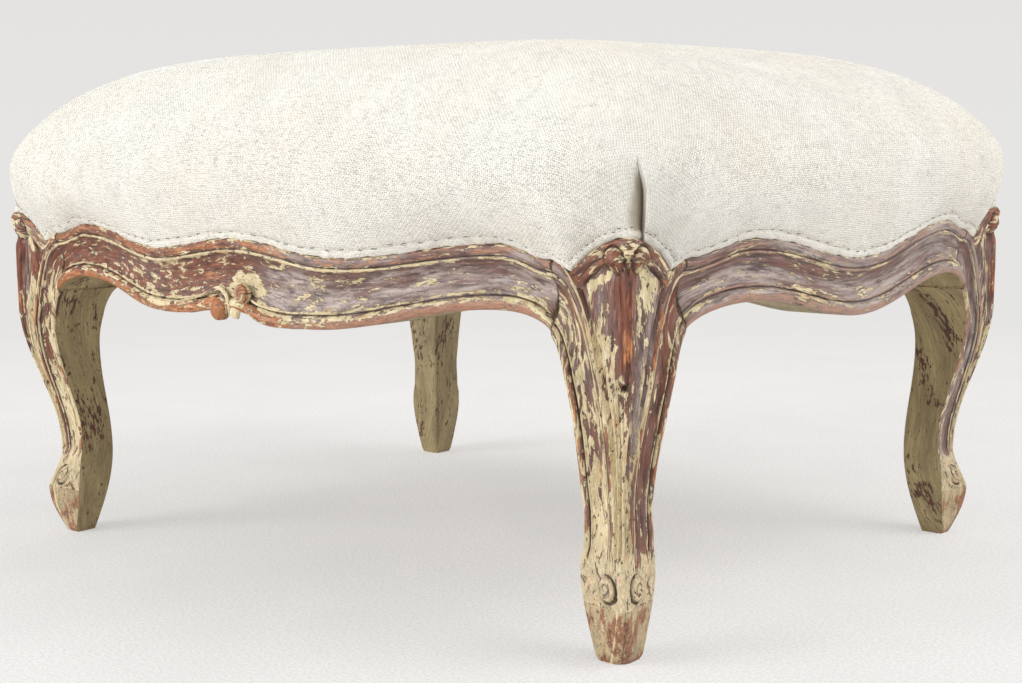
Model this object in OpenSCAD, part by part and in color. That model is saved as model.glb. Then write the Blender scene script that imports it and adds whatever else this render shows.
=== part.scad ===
// Footstool with carved cabriole legs, serpentine moulded rails and a stuffed linen top.
// The origin is on the floor under the middle of the stool. X runs along the long side.

/* [Frame] */
// Distance between the axes of the legs along the long side
leg_span_x = 466; // [400:2:540]
// Distance between the axes of the legs along the short side
leg_span_y = 366; // [320:2:440]
// Height of the underside of the rails where they meet the legs
joint_z = 169; // [150:1:220]
// Height of the moulded face of the rails at the joint
joint_h = 39; // [36:1:44]
// Height of the rails' plain top above the moulded face at the joint
core_rise = 10; // [8:1:14]

/* [Leg] */
// Reach of the knee from the leg's axis, on each face
knee_out = 26.6; // [24:0.2:30]
// Reach of the block's inner faces from the leg's axis
block_in = 22; // [20:0.5:26]
// Reach of the outer corner at the narrow ankle
ankle_out = 8.3; // [6:0.1:11]
// Reach of the outer corner at the toe
toe_out = 16.5; // [13:0.5:19]
// Reach of the outer corner on the floor
foot_out = 8; // [6:0.5:10]
// Height of the ankle
ankle_z = 58; // [52:1:70]
// Height of the toe
toe_z = 30; // [24:1:38]
// Reach of the inner corner on the floor
foot_in = 7.5; // [6:0.5:11]
// Reach of the inner corner at the ankle
ankle_in = 17.5; // [15:0.5:20]
// Reach of the inner corner at the back of the knee
calf_in = 13; // [10:0.5:15]
// Height of the back of the knee
calf_z = 128; // [115:1:135]
// How far the faces fall back from the toe's point to their inner edges
toe_splay = 6; // [4:0.5:9]
// Height where the faces of the foot fall back most
splay_z = 22; // [16:1:28]
// Height above which the faces no longer fall back
splay_top = 46; // [40:1:56]
// Height below the joint where the outer corner is at its full reach
knee_drop = 9; // [5:1:14]
// Width of the carved fan on each face of the knee, under the crest
fan_w = 30.5; // [24:0.5:34]
// Depth of the fan's flutes
flute_d = 2.2; // [1:0.1:3]
// Radius of the scroll at the end of each band above the foot
scroll_r = 4.2; // [3:0.1:5]
// How far each scroll stands proud of its band
scroll_proud = 1.2; // [0.6:0.1:2]
// Half width of the ridge that the fan runs down into
ridge_w = 4.2; // [2:0.1:6]

/* [Crest] */
// Height of the crest's tip above the joint's moulded face
crest_rise = 13; // [9:0.5:18]
// Drop of the crest from its tip to the notch beside it
crest_drop = 19; // [14:0.5:22]
// Height of the crest moulding over the fan
crest_h = 12; // [9:0.5:14]
// How far the crest stands proud of the face
crest_proud = 1.4; // [0.5:0.1:3]

/* [Rails] */
// Thickness of the rails
rail_t = 36; // [32:1:42]
// Bow of the long rails in plan, at their middle
bow_front = 27; // [10:1:34]
// Bow of the short rails in plan, at their middle
bow_side = 14; // [4:1:20]
// Height of the beads along both edges of the moulding
bead_h = 8.6; // [6:0.2:10]
// Depth of the hollow between the beads
hollow_d = 5.6; // [3:0.2:7]
// Depth of the rebate that the cover's hem lies in
rebate_d = 4.6; // [3:0.2:6]
// Rise of the lower edge of the long rails where it is highest
front_arch = 12; // [8:0.5:16]
// Drop of the lower edge of the long rails beside the middle
front_drop = 4; // [0:0.5:8]
// Rise of the lower edge of the short rails where it is highest
side_arch = 14; // [8:0.5:18]
// Drop of the lower edge of the short rails at the middle
side_drop = 2; // [0:0.5:6]

/* [Joinery] */
// Thickness of the tenons
tenon_t = 9; // [7:0.5:10]
// Length of the tenons
tenon_l = 24; // [20:0.5:24]
// Distance from the face of the rail to the middle of the tenon
tenon_set = 18; // [17:0.5:19]
// Shoulder above and below each tenon
tenon_shoulder = 6; // [4:0.5:8]
// Clearance between a tenon and its mortise, on each side
mortise_gap = 0.2; // [0.1:0.05:0.4]
// Diameter of the pegs
peg_d = 6; // [5:0.5:7]
// Clearance between a peg and its hole, on the radius
peg_gap = 0.1; // [0.05:0.05:0.2]

/* [Webbing and base cloth] */
// Width of the straps
strap_w = 52; // [40:1:60]
// Thickness of the straps
strap_t = 1.8; // [1.2:0.1:2.4]
// Number of long straps
long_straps = 3; // [2:1:3]
// Number of cross straps
cross_straps = 4; // [3:1:4]
// Spacing of the long straps
long_pitch = 104; // [80:1:120]
// Spacing of the cross straps
cross_pitch = 108; // [80:1:125]
// Thickness of the base cloth
cloth_t = 0.8; // [0.6:0.1:1.2]

/* [Cushion] */
// Height of the crown above the floor
crown_z = 327; // [300:1:360]
// Height of the cushion's widest level
wide_z = 256; // [248:1:268]
// How far the widest level stands out from the hem at the middle of the long rails
swell_front = 16; // [8:1:20]
// How far the widest level stands out from the hem at the middle of the short rails
swell_side = 15; // [8:1:20]
// Radius of the cushion's corners in plan
corner_r = 68; // [50:1:90]
// Thickness of the linen cover
cover_t = 1.3; // [1:0.1:2]
// Rise of the firm first stuffing's edge above the widest level
first_rise = 10; // [6:0.5:16]
// Room between the soft layers
soft_gap = 0.4; // [0.3:0.1:0.8]

/* [Hidden] */

paint_near = "#cdbb8e";
paint_worn = "#8a5a45";
peg_wood = "#b98a5a";
jute = "#b59a6a";
hair = "#6b5a48";
wadding = "#d9d2bf";
linen = "#e9e5d8";

ax = leg_span_x / 2;
ay = leg_span_y / 2;
face_z = joint_z + joint_h;
rail_top = face_z + core_rise;
crest_z = face_z + crest_rise;
eps = 0.01;

// A smooth step from 0 to 1
function ease(t) = 0.5 - 0.5 * cos(180 * max(0, min(1, t)));
function mix(a, b, t) = a + (b - a) * t;
// A smooth run between the heights of a list of [place, height] pairs
function run(keys, s, i = 0) =
    i >= len(keys) - 2 || s <= keys[i + 1][0]
        ? mix(keys[i][1], keys[i + 1][1], ease((s - keys[i][0]) / (keys[i + 1][0] - keys[i][0])))
        : run(keys, s, i + 1);

// Moulding: the share of its height from the upper edge, and its depth behind the face.
// Two beads, each with a groove beside it, and a broad hollow between them.
function moulding(h) = let (b = bead_h / h) [
    [0, edge_d], [b * 0.28, 0.3], [b * 0.72, 0.3], [b * 1.02, hollow_d * 0.55],
    [b * 1.45, hollow_d * 0.8], [0.5, hollow_d], [1 - b * 1.45, hollow_d * 0.8],
    [1 - b * 1.02, hollow_d * 0.55], [1 - b * 0.72, 0.3], [1 - b * 0.28, 0.3], [1, edge_d]];
edge_d = 1.4;
bands = len(moulding(joint_h));
// Distance from the moulded face to the plain wall behind the rebate
rebate_in = rebate_d * 1.5;

// Leg: reach of the outer corner and of the inner corner at each height
function corner_out(z) =
    z < toe_z ? mix(foot_out, toe_out, sin(90 * z / toe_z))
  : z < ankle_z ? mix(toe_out, ankle_out, sin(90 * (z - toe_z) / (ankle_z - toe_z)))
  : mix(ankle_out, knee_out, ease((z - ankle_z) / (joint_z - knee_drop - ankle_z)));
function corner_in(z) =
    z < ankle_z ? mix(foot_in, ankle_in, sin(90 * z / ankle_z))
  : z < calf_z ? mix(ankle_in, calf_in, ease((z - ankle_z) / (calf_z - ankle_z)))
  : mix(calf_in, block_in, pow(min(1, (z - calf_z) / (joint_z - calf_z)), 2.1));

// The toe is a point: towards the inner edges its faces fall back
function splay(z) =
    toe_splay * (z < splay_z ? ease(z / splay_z) : 1 - ease((z - splay_z) / (splay_top - splay_z)));

// Leg: heights of the turn where the band leaves the leg for the rail
turn_z = joint_z - joint_h / 2;
fan_low = joint_z / 2;
fan_top = face_z - crest_h;
function fan_at(z) = ridge_w + (fan_w - ridge_w) * pow(max(0, min(1, (z - fan_low) / (fan_top - fan_low))), 1.7);

// Fan: the share of its width from the corner and the share of the flute's depth
fan = [[0, 0.25], [0.3, 1], [0.52, 0.3], [0.8, 1], [1, 0.15]];
fans = len(fan);
fan_edge = 1.8;

// How deep the carving is at each height of the leg: none on the foot, full at the joint
relief_low = 0.34;
scroll_low = joint_z * 0.2;
scroll_high = joint_z * 0.27;
function relief(z) =
    z < scroll_low ? 0.02
  : z < scroll_high ? mix(0.02, relief_low, ease((z - scroll_low) / (scroll_high - scroll_low)))
  : mix(relief_low, 0.6, ease((z - scroll_high) / (turn_z - scroll_high)));

// One column of a face is [distance from the outer corner, depth behind the face]
function face_columns(z) =
    let (o = corner_out(z), w = o + corner_in(z), f = fan_at(z), e = fan_edge, k = relief(z),
         m = moulding(joint_h), edge = f + 2 * e * k + 0.4, fall = splay(z) / w)
    concat([for (p = fan) [p[0] * f, p[1] * flute_d * k + 0.01 + fall * p[0] * f]],
           [[f + e * k + 0.2, flute_d * k + fall * f]],
           [for (p = m) let (t = mix(edge, w, p[0])) [t, p[1] * k + fall * t]]);

// A ring of the leg below the turn: front face from corner to inner edge, inner corner, side face back
function leg_ring(z) =
    let (o = corner_out(z), n = -corner_in(z), c = face_columns(z), last = len(c) - 1, k0 = c[0][1] + toe_cut(z))
    concat([[o - k0, o - k0, z]],
           [for (i = [1:last]) [o - c[i][0], o - c[i][1], z]],
           [[n, n, z]],
           [for (i = [last:-1:1]) [o - c[i][1], o - c[i][0], z]]);
// The foot's outer corner is planed off, and the cut runs out over a short height above the toe
toe_plane = 2;
toe_run = 6;
function toe_cut(z) = toe_plane * (1 - ease((z - toe_z) / toe_run));

ring_heights = [for (s = [0, 0.07, 0.13, 0.17, 0.2, 0.225, 0.27, 0.33, 0.4, 0.48, 0.56, 0.65, 0.74, 0.82]) s * joint_z];
rings = concat([for (z = ring_heights) leg_ring(z)], [leg_ring(turn_z)]);
ring_n = len(rings[0]);
face_n = (ring_n - 2) / 2;

// Head of the leg: the band turns from the leg onto the end of the rail along smooth curves
turn_n = 7;
notch = 5;
// Each edge of the band heads straight up the leg and straight along the rail, and these are the corners
// that its curve cuts
outer_pull = [-4, face_z - 2];
inner_pull = [-16.5, turn_z + joint_h / 4];
function bend(a, b, c, t) = (1 - t) * (1 - t) * a + 2 * t * (1 - t) * b + t * t * c;
function band_point(q, j) =
    let (t = j / turn_n, o = knee_out, m = moulding(joint_h)[q], c = face_columns(turn_z)[fans + 1 + q],
         start = [corner_out(turn_z) - c[0], turn_z], stop = [-block_in, face_z - joint_h * m[0]],
         pull = [mix(outer_pull[0], inner_pull[0], m[0]), mix(outer_pull[1], inner_pull[1], m[0])],
         p = bend(start, pull, stop, t), face = mix(corner_out(turn_z), o, min(1, 3 * t)))
    [p[0], face - m[1] * mix(relief(turn_z), 1, t), p[1]];
function groove_point(j) =
    let (p = band_point(0, j), o = knee_out)
    [p[0] + groove_w, mix(corner_out(turn_z), o, min(1, 3 * j / turn_n)) - flute_d * mix(relief(turn_z), 0.9, j / notch), p[2] + 0.5];
groove_w = 1.6;
// Fan columns rise to the groove under the crest, which is highest at the corner
groove_z = groove_point(notch)[2] - groove_w;
crest_base = crest_z - crest_h - groove_z;
function fan_point(i, j) =
    let (t = j / notch, g = groove_point(j), s = fan[i][0], out = mix(corner_out(turn_z), knee_out, min(1, 3 * j / turn_n)),
         edge_u = mix(corner_out(turn_z) - fan_at(turn_z), g[0] + groove_w + 1, t), d = fan[i][1] * flute_d * mix(relief(turn_z), 1, t),
         z = mix(turn_z, g[2] - groove_w, t) + crest_base * t * (1 - s * s))
    i == 0 ? [out - d, out - d, z] : [mix(out, edge_u, s), out - d, z];
// The crest's upper line, falling from the corner to the notch
function crest_line(u) = crest_z - crest_drop * pow((knee_out - u) / (knee_out - groove_point(notch)[0] + 1.4), 2);
crest_round = 2.4;
crest_steps = [[0.12, 0.4], [0.5, 1], [0.85, 0.8], [1, 0.3]];
function crest_point(i, r) =
    let (p = i == fans ? groove_point(notch) : fan_point(i, notch), u = i == fans ? p[0] - 1.4 * crest_steps[r][0] : p[0],
         out = knee_out + crest_proud * crest_steps[r][1] * (i == fans ? 0.3 : 1), z = mix(p[2], crest_line(u), crest_steps[r][0]))
    i == 0 ? [out - crest_round, out - crest_round, z] : [u, out, z];
crest_n = len(crest_steps);

// The rebate's inner line and the plain core above it
inset = knee_out - rebate_in;
function set_in(p) = [min(p[0], inset), inset, p[2]];
function lift(p) = [p[0], p[1], rail_top];
function swap(p) = [p[1], p[0], p[2]];

// Vertices of the head, for the front face: band grid, groove and fan grid, crest grid, ledge and core lines
band_grid = [for (j = [1:turn_n]) [for (q = [0:bands - 1]) band_point(q, j)]];
fan_grid = [for (j = [1:notch]) concat([for (i = [0:fans - 1]) fan_point(i, j)], [groove_point(j)])];
crest_grid = [for (r = [0:crest_n - 1]) [for (i = [0:fans]) crest_point(i, r)]];
ledge = concat([for (i = [0:fans]) set_in(crest_grid[crest_n - 1][i])], [for (j = [notch:turn_n]) set_in(band_point(0, j))]);
core = [for (p = ledge) lift(p)];
function flat(rows) = [for (r = rows) each r];
side_points = concat(flat(band_grid), flat(fan_grid), flat(crest_grid), ledge, core);
side_n = len(side_points);
band_0 = 0;
fan_0 = band_0 + turn_n * bands;
crest_0 = fan_0 + notch * (fans + 1);
ledge_0 = crest_0 + crest_n * (fans + 1);
core_0 = ledge_0 + len(ledge);

// Vertex numbers: the lower rings first, then the two faces of the head, then the inner corner column
lower_n = len(rings) * ring_n;
top_ring = (len(rings) - 1) * ring_n;
function on_ring(face, c) = top_ring + (c == 0 ? 0 : face == 0 ? c : ring_n - c);
function on_side(face, k) = lower_n + (face == 1 && is_corner(k) >= 0 ? 0 : face * side_n) + k;
function is_corner(k) =
    k >= fan_0 && k < crest_0 && (k - fan_0) % (fans + 1) == 0 ? 0
  : k >= crest_0 && k < ledge_0 && (k - crest_0) % (fans + 1) == 0 ? 1
  : k == ledge_0 || k == core_0 ? 2 : -1;
function band_at(face, q, j) = j == 0 ? on_ring(face, fans + 1 + q) : on_side(face, band_0 + (j - 1) * bands + q);
function fan_i(face, i, j) = j == 0 ? on_ring(face, i) : on_side(face, fan_0 + (j - 1) * (fans + 1) + i);
function crest_i(face, i, r) = r < 0 ? fan_i(face, i, notch) : on_side(face, crest_0 + r * (fans + 1) + i);
function ledge_i(face, k) = on_side(face, ledge_0 + k);
function core_i(face, k) = on_side(face, core_0 + k);
inner_0 = lower_n + 2 * side_n;
function inner_i(j) = j == 0 ? top_ring + face_n + 1 : inner_0 + j - 1;
inner_points = concat([for (j = [1:turn_n]) let (p = band_point(bands - 1, j)) [p[0], p[0], p[2]]],
                      [[-block_in, -block_in, rail_top]]);
inner_top = inner_0 + turn_n;

// A quad as two triangles; the second face of the leg is mirrored, so its triangles turn the other way
function quad(a, b, c, d) = [[a, b, c], [a, c, d]];
function back(list) = [for (t = list) [t[0], t[2], t[1]]];
function turned(face, list) = face == 0 ? list : back(list);
function fan_of(a, list) = [for (i = [0:len(list) - 2]) [a, list[i], list[i + 1]]];

function head_faces(f) = turned(f, concat(
    flat([for (j = [0:turn_n - 1], q = [0:bands - 2])
        quad(band_at(f, q, j), band_at(f, q, j + 1), band_at(f, q + 1, j + 1), band_at(f, q + 1, j))]),
    flat([for (j = [0:notch - 1]) quad(fan_i(f, fans, j), fan_i(f, fans, j + 1), band_at(f, 0, j + 1), band_at(f, 0, j))]),
    flat([for (j = [0:notch - 1], i = [0:fans - 1])
        quad(fan_i(f, i, j), fan_i(f, i, j + 1), fan_i(f, i + 1, j + 1), fan_i(f, i + 1, j))]),
    flat([for (r = [-1:crest_n - 2], i = [0:fans - 1])
        quad(crest_i(f, i, r), crest_i(f, i, r + 1), crest_i(f, i + 1, r + 1), crest_i(f, i + 1, r))]),
    flat([for (i = [0:fans - 1])
        quad(crest_i(f, i, crest_n - 1), ledge_i(f, i), ledge_i(f, i + 1), crest_i(f, i + 1, crest_n - 1))]),
    fan_of(ledge_i(f, fans + 1), concat([band_at(f, 0, notch)], [for (r = [-1:crest_n - 1]) crest_i(f, fans, r)],
        [ledge_i(f, fans)])),
    flat([for (j = [notch:turn_n - 1]) let (k = fans + 1 + j - notch)
        quad(band_at(f, 0, j), ledge_i(f, k), ledge_i(f, k + 1), band_at(f, 0, j + 1))]),
    flat([for (k = [0:len(ledge) - 2]) quad(ledge_i(f, k), core_i(f, k), core_i(f, k + 1), ledge_i(f, k + 1))]),
    fan_of(inner_top, [for (k = [len(core) - 1:-1:0]) core_i(f, k)]),
    fan_of(inner_i(turn_n), concat([for (q = [bands - 1:-1:0]) band_at(f, q, turn_n)],
        [ledge_i(f, len(ledge) - 1), core_i(f, len(core) - 1), inner_top])),
    flat([for (j = [0:turn_n - 1])
        quad(band_at(f, bands - 1, j), band_at(f, bands - 1, j + 1), inner_i(j + 1), inner_i(j))])));

lower_faces = flat([for (r = [0:len(rings) - 2], c = [0:ring_n - 1])
    let (a = r * ring_n, b = a + ring_n, d = (c + 1) % ring_n)
    quad(a + c, b + c, b + d, a + d)]);
foot_face = fan_of(face_n + 1, concat([for (c = [face_n + 2:ring_n - 1]) c], [for (c = [0:face_n]) c]));

module leg_blank() {
    polyhedron(
        points = concat(flat(rings), side_points, [for (p = side_points) swap(p)], inner_points),
        faces = concat(lower_faces, foot_face, head_faces(0), head_faces(1)), convexity = 8);
}

// A mortise for a tenon that enters through the face at the block's inner side, along X
mortise_z = joint_z + tenon_shoulder;
mortise_h = joint_h - 2 * tenon_shoulder;
tenon_v = knee_out - tenon_set;
module mortise() {
    g = mortise_gap;
    translate([-block_in - 1, tenon_v - tenon_t / 2 - g, mortise_z - g])
        cube([tenon_l + 1 + 5 * g, tenon_t + 2 * g, mortise_h + 2 * g]);
}

// Pegs: the one through the long rail's tenon lies higher than the one through the short rail's
peg_in = 6.5;
peg_long_z = mortise_z + mortise_h * 0.75;
peg_short_z = mortise_z + mortise_h * 0.25;
peg_l = block_in + tenon_v + tenon_t / 2 + 5;
module peg(z, r, l) {
    translate([-block_in + peg_in, -block_in, z]) rotate([-90, 0, 0]) cylinder(r = r, h = l, $fn = 32);
}
module both_pegs(r, extra) {
    translate([0, -extra, 0]) peg(peg_long_z, r, peg_l + 2 * extra);
    mirror([1, -1, 0]) translate([0, -extra, 0]) peg(peg_short_z, r, peg_l + 2 * extra);
}

// The scroll at the lower end of each band: a low turned boss with a raised rim
scroll_z = joint_z * 0.25;
scroll_u = corner_out(scroll_z) - ridge_w - scroll_r - 1.4;
scroll_back = splay(scroll_z) * 0.3;
module scroll() {
    translate([scroll_u, corner_out(scroll_z) - scroll_back - scroll_r * 0.5, scroll_z]) rotate([-90, 0, 0])
        rotate_extrude($fn = 32) polygon([[0, 0], [scroll_r, 0], [scroll_r, scroll_r * 0.5 + scroll_proud * 0.4],
            [scroll_r * 0.8, scroll_r * 0.5 + scroll_proud], [scroll_r * 0.5, scroll_r * 0.5 + scroll_proud * 0.3],
            [scroll_r * 0.25, scroll_r * 0.5 + scroll_proud], [0, scroll_r * 0.5 + scroll_proud]]);
}

module leg(sx, sy) {
    color(paint_near) translate([sx * ax, sy * ay, 0]) mirror([sx < 0 ? 1 : 0, 0, 0]) mirror([0, sy < 0 ? 1 : 0, 0])
        difference() {
            union() {
                leg_blank();
                scroll();
                mirror([1, -1, 0]) scroll();
            }
            mortise();
            mirror([1, -1, 0]) mortise();
            both_pegs(peg_d / 2 + peg_gap, 1);
        }
}

module pegs(sx, sy) {
    color(peg_wood) translate([sx * ax, sy * ay, 0]) mirror([sx < 0 ? 1 : 0, 0, 0]) mirror([0, sy < 0 ? 1 : 0, 0])
        both_pegs(peg_d / 2, 0);
}

// Rails: half length, plan of the face, lower edge and upper edge along the share s of the half length
half_front = ax - block_in;
half_side = ay - block_in;
// The long rail's face is straight in the middle, and from bow_from its bow runs out over bow_run
bow_from = 0.18;
bow_run = 0.76;
function plan_front(s) = ay + knee_out + bow_front * (1 - ease((s - bow_from) / bow_run));
function plan_side(s) = ax + knee_out + bow_side * (1 - pow(s, 3));
// The last stretch of each lower edge is a round arch that springs from the leg
spring = 0.84;
side_spring = 0.7;
// Places of the dips in the long rails' upper and lower edges
trough = 0.365;
low_dip = 0.275;
// Rises and drops of the upper edges from the height of the moulded face at the joint
middle_rise = 5;
trough_drop = 3;
hump_rise = 7;
side_trough = 8;
side_hump = 8;
function arch(s, from, rise) = rise * pow(1 - pow(max(0, (s - from) / (1 - from)), 2.2), 0.6);
function low_front(s) = s >= spring ? joint_z + arch(s, spring, front_arch)
    : joint_z + run([[0, front_drop * 0.6], [low_dip, -front_drop], [spring, front_arch]], s);
function low_side(s) = s >= side_spring ? joint_z + arch(s, side_spring, side_arch)
    : joint_z + run([[0, -side_drop], [side_spring, side_arch]], s);
function top_front(s) = face_z + run([[0, middle_rise], [trough, -trough_drop], [spring, hump_rise], [1, 0]], s);
function top_side(s) = face_z + run([[0, -side_trough], [side_spring, side_hump], [1, 0]], s);

// One section of a rail, out from its middle line: moulding, ledge, core, inner face
function rail_section(face, low, high) =
    let (m = moulding(high - low))
    concat([for (p = m) [face - p[1], high - (high - low) * p[0]]],
           [[face - rail_t, low], [face - rail_t, rail_top], [face - rebate_in, rail_top], [face - rebate_in, high]]);
section_n = bands + 4;

// Places of the sections along the half rail, closer where it turns into the leg
stations = [0, 0.07, 0.14, 0.21, low_dip, 0.34, 0.4, 0.47, 0.54, 0.61, 0.68, 0.75, 0.8, spring, 0.88, 0.92, 0.95, 0.975, 0.99, 1];
side_stations = [0, 0.1, 0.2, 0.3, 0.4, 0.5, 0.6, side_spring, 0.76, 0.82, 0.87, 0.92, 0.96, 0.985, 1];
function both_ways(list) = concat([for (i = [len(list) - 1:-1:1]) -list[i]], list);

module rail_body(length, places, sections) {
    n = section_n;
    last = len(places) - 1;
    pts = [for (k = [0:last]) for (p = sections[k]) [places[k] * length, p[0], p[1]]];
    loops = flat([for (k = [0:last - 1], i = [0:n - 1]) let (a = k * n, b = a + n, d = (i + 1) % n)
        quad(a + i, a + d, b + d, b + i)]);
    start = fan_of(bands, concat([for (i = [bands + 1:n - 1]) i], [for (i = [0:bands - 1]) i]));
    stop = [for (t = start) [t[0] + last * n, t[2] + last * n, t[1] + last * n]];
    polyhedron(points = pts, faces = concat(loops, back(concat(start, stop))), convexity = 8);
}

module tenons(length, face) {
    for (s = [-1, 1])
        translate([s > 0 ? length - eps : -length - tenon_l, face - tenon_set - tenon_t / 2, mortise_z])
            cube([tenon_l + eps, tenon_t, mortise_h]);
}

module tenon_holes(length, face, z) {
    for (s = [-1, 1])
        translate([s * (length + peg_in), face - tenon_set - tenon_t, z]) rotate([-90, 0, 0])
            cylinder(r = peg_d / 2 + peg_gap, h = 2 * tenon_t, $fn = 32);
}

// Motif in the middle of the long rails: a button in the hollow, and beside it the curled end of the
// lower bead, which hangs a little below the rail
button_r = 4.9;
button_at = [-7.1, joint_z + joint_h * 0.354];
lobe_r = 6.8;
lobe_at = [13.4, joint_z + joint_h * 0.072];
module motif(face) {
    translate([button_at[0], face - button_r * 0.6, button_at[1]]) scale([1, 1.1, 1]) sphere(r = button_r, $fn = 24);
    translate([lobe_at[0], face - lobe_r * 0.4, lobe_at[1]]) scale([1, 0.7, 0.8]) sphere(r = lobe_r, $fn = 24);
}

module long_rail() {
    s = both_ways(stations);
    difference() {
        union() {
            rail_body(half_front, s, [for (p = s) rail_section(plan_front(abs(p)), low_front(abs(p)), top_front(abs(p)))]);
            tenons(half_front, ay + knee_out);
            motif(plan_front(0));
        }
        tenon_holes(half_front, ay + knee_out, peg_long_z);
    }
}

module short_rail() {
    s = both_ways(side_stations);
    difference() {
        union() {
            rail_body(half_side, s, [for (p = s) rail_section(plan_side(abs(p)), low_side(abs(p)), top_side(abs(p)))]);
            tenons(half_side, ax + knee_out);
        }
        tenon_holes(half_side, ax + knee_out, peg_short_z);
    }
}

module rail_front() { color(paint_worn) rotate([0, 0, 180]) long_rail(); }
module rail_back() { color(paint_worn) long_rail(); }
module rail_right() { color(paint_worn) rotate([0, 0, -90]) short_rail(); }
module rail_left() { color(paint_worn) rotate([0, 0, 90]) short_rail(); }

// Webbing: each strap lies on the rails at its ends and passes over and under the straps it crosses
weave = strap_t / 2 + 0.1;
strap_mid = rail_top + strap_t / 2;
function crossings(count, pitch) = [for (i = [0:count - 1]) (i - (count - 1) / 2) * pitch];
// Half width of the flat stretch at a crossing
hold = strap_w / 2 + 2 * strap_t;
// Set-back of a strap's end from the rail's face, and its flat stretch on the rail
strap_set = rebate_in + strap_w / 10;
strap_rest = rail_t - strap_set + strap_t;
module strap(reach, places, first) {
    line = concat([[-reach, 0], [strap_rest - reach, 0]], flat([for (i = [0:len(places) - 1]) let (side = (i + first) % 2 == 0 ? weave : -weave)
        [[places[i] - hold, side], [places[i] + hold, side]]]), [[reach - strap_rest, 0], [reach, 0]]);
    last = len(line) - 1;
    translate([0, strap_w / 2, strap_mid]) rotate([90, 0, 0]) linear_extrude(strap_w)
        polygon(concat([for (p = line) [p[0], p[1] - strap_t / 2]], [for (i = [last:-1:0]) [line[i][0], line[i][1] + strap_t / 2]]));
}
module strap_long(i) {
    y = crossings(long_straps, long_pitch)[i - 1];
    if (i <= long_straps)
        color(jute) translate([0, y, 0])
            strap(plan_side(min(1, (abs(y) + strap_w / 2) / half_side)) - strap_set, crossings(cross_straps, cross_pitch), i);
}
module strap_cross(i) {
    x = crossings(cross_straps, cross_pitch)[i - 1];
    if (i <= cross_straps)
        color(jute) translate([x, 0, 0]) rotate([0, 0, 90])
            strap(plan_front(min(1, (abs(x) + strap_w / 2) / half_front)) - strap_set, crossings(long_straps, long_pitch), i + 1);
}

// Cushion: the same walk round the stool for the hem and for the widest level.
// A quarter runs from the middle of the long rail over the leg's crest to the middle of the short rail.
long_hem = [0, bow_from, trough, 0.56, 0.7, spring, 0.91, 1];
short_hem = [1, 0.83, side_spring, 0.5, 0.25, 0];
crest_us = [-9.3, 4, 13];
hem_out = rebate_in - 1.3;
hem_lift = 1.3;
function on_front(s, d) = [half_front * s, plan_front(s) - d, top_front(s)];
function on_right(s, d) = [plan_side(s) - d, half_side * s, top_side(s)];
function on_crest(u, d) = [ax + u, ay + knee_out - d, crest_line(u)];
function flip(p) = [p[1] - ay + ax, p[0] - ax + ay, p[2]];
function hem_quarter(d) = concat(
    [for (s = long_hem) on_front(s, d)],
    [for (u = crest_us) on_crest(u, d)],
    [[ax + knee_out - d - 1, ay + knee_out - d - 1, crest_line(knee_out - d)]],
    [for (i = [len(crest_us) - 1:-1:0]) flip(on_crest(crest_us[i], d))],
    [for (s = short_hem) on_right(s, d)]);
wide_x = plan_side(0) - hem_out + swell_side;
wide_y = plan_front(0) - hem_out + swell_front;
bow_x = 3;
bow_y = 18;
arc_x = wide_x - bow_x - corner_r;
arc_y = wide_y - bow_y - corner_r;
arc_n = 2 * len(crest_us) + 2;
function wide_quarter(d) = concat(
    [for (s = long_hem) [arc_x * s, arc_y + corner_r + bow_y * (1 - s * s) - d]],
    [for (i = [1:arc_n - 1]) let (a = 90 * i / arc_n) [arc_x + (corner_r - d) * sin(a), arc_y + (corner_r - d) * cos(a)]],
    [for (s = short_hem) [arc_x + corner_r + bow_x * (1 - s * s) - d, arc_y * s]]);
// All four quarters, walked one way round and without their shared middle points
function round_trip(q) = let (n = len(q)) concat(
    [for (i = [0:n - 2]) q[i]],
    [for (i = [n - 1:-1:1]) [q[i][0], -q[i][1], q[i][2]]],
    [for (i = [0:n - 2]) [-q[i][0], -q[i][1], q[i][2]]],
    [for (i = [n - 1:-1:1]) [-q[i][0], q[i][1], q[i][2]]]);

// A level of the cushion: below the widest level it runs in to the hem, above it the crown closes
crown_a = 4.8;
crown_b = 1.26;
function crown(r, d) = wide_z + (crown_z - d - wide_z) * pow(1 - pow(r, crown_a), 1 / crown_b);
function level(hem, wide, t, base) = [for (i = [0:len(hem) - 1])
    let (h = hem[i], w = wide[i], s = sin(90 * t))
    [mix(h[0], w[0], s), mix(h[1], w[1], s), mix(h[2] + base, wide_z, pow(t, 1.15))]];
function cap(wide, r, d) = [for (w = wide) [w[0] * r, w[1] * r, crown(r, d)]];

// Shares of the plan where the inner side of the crown has its levels
inner_rs = [0.965, 0.85, 0.5];

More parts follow.
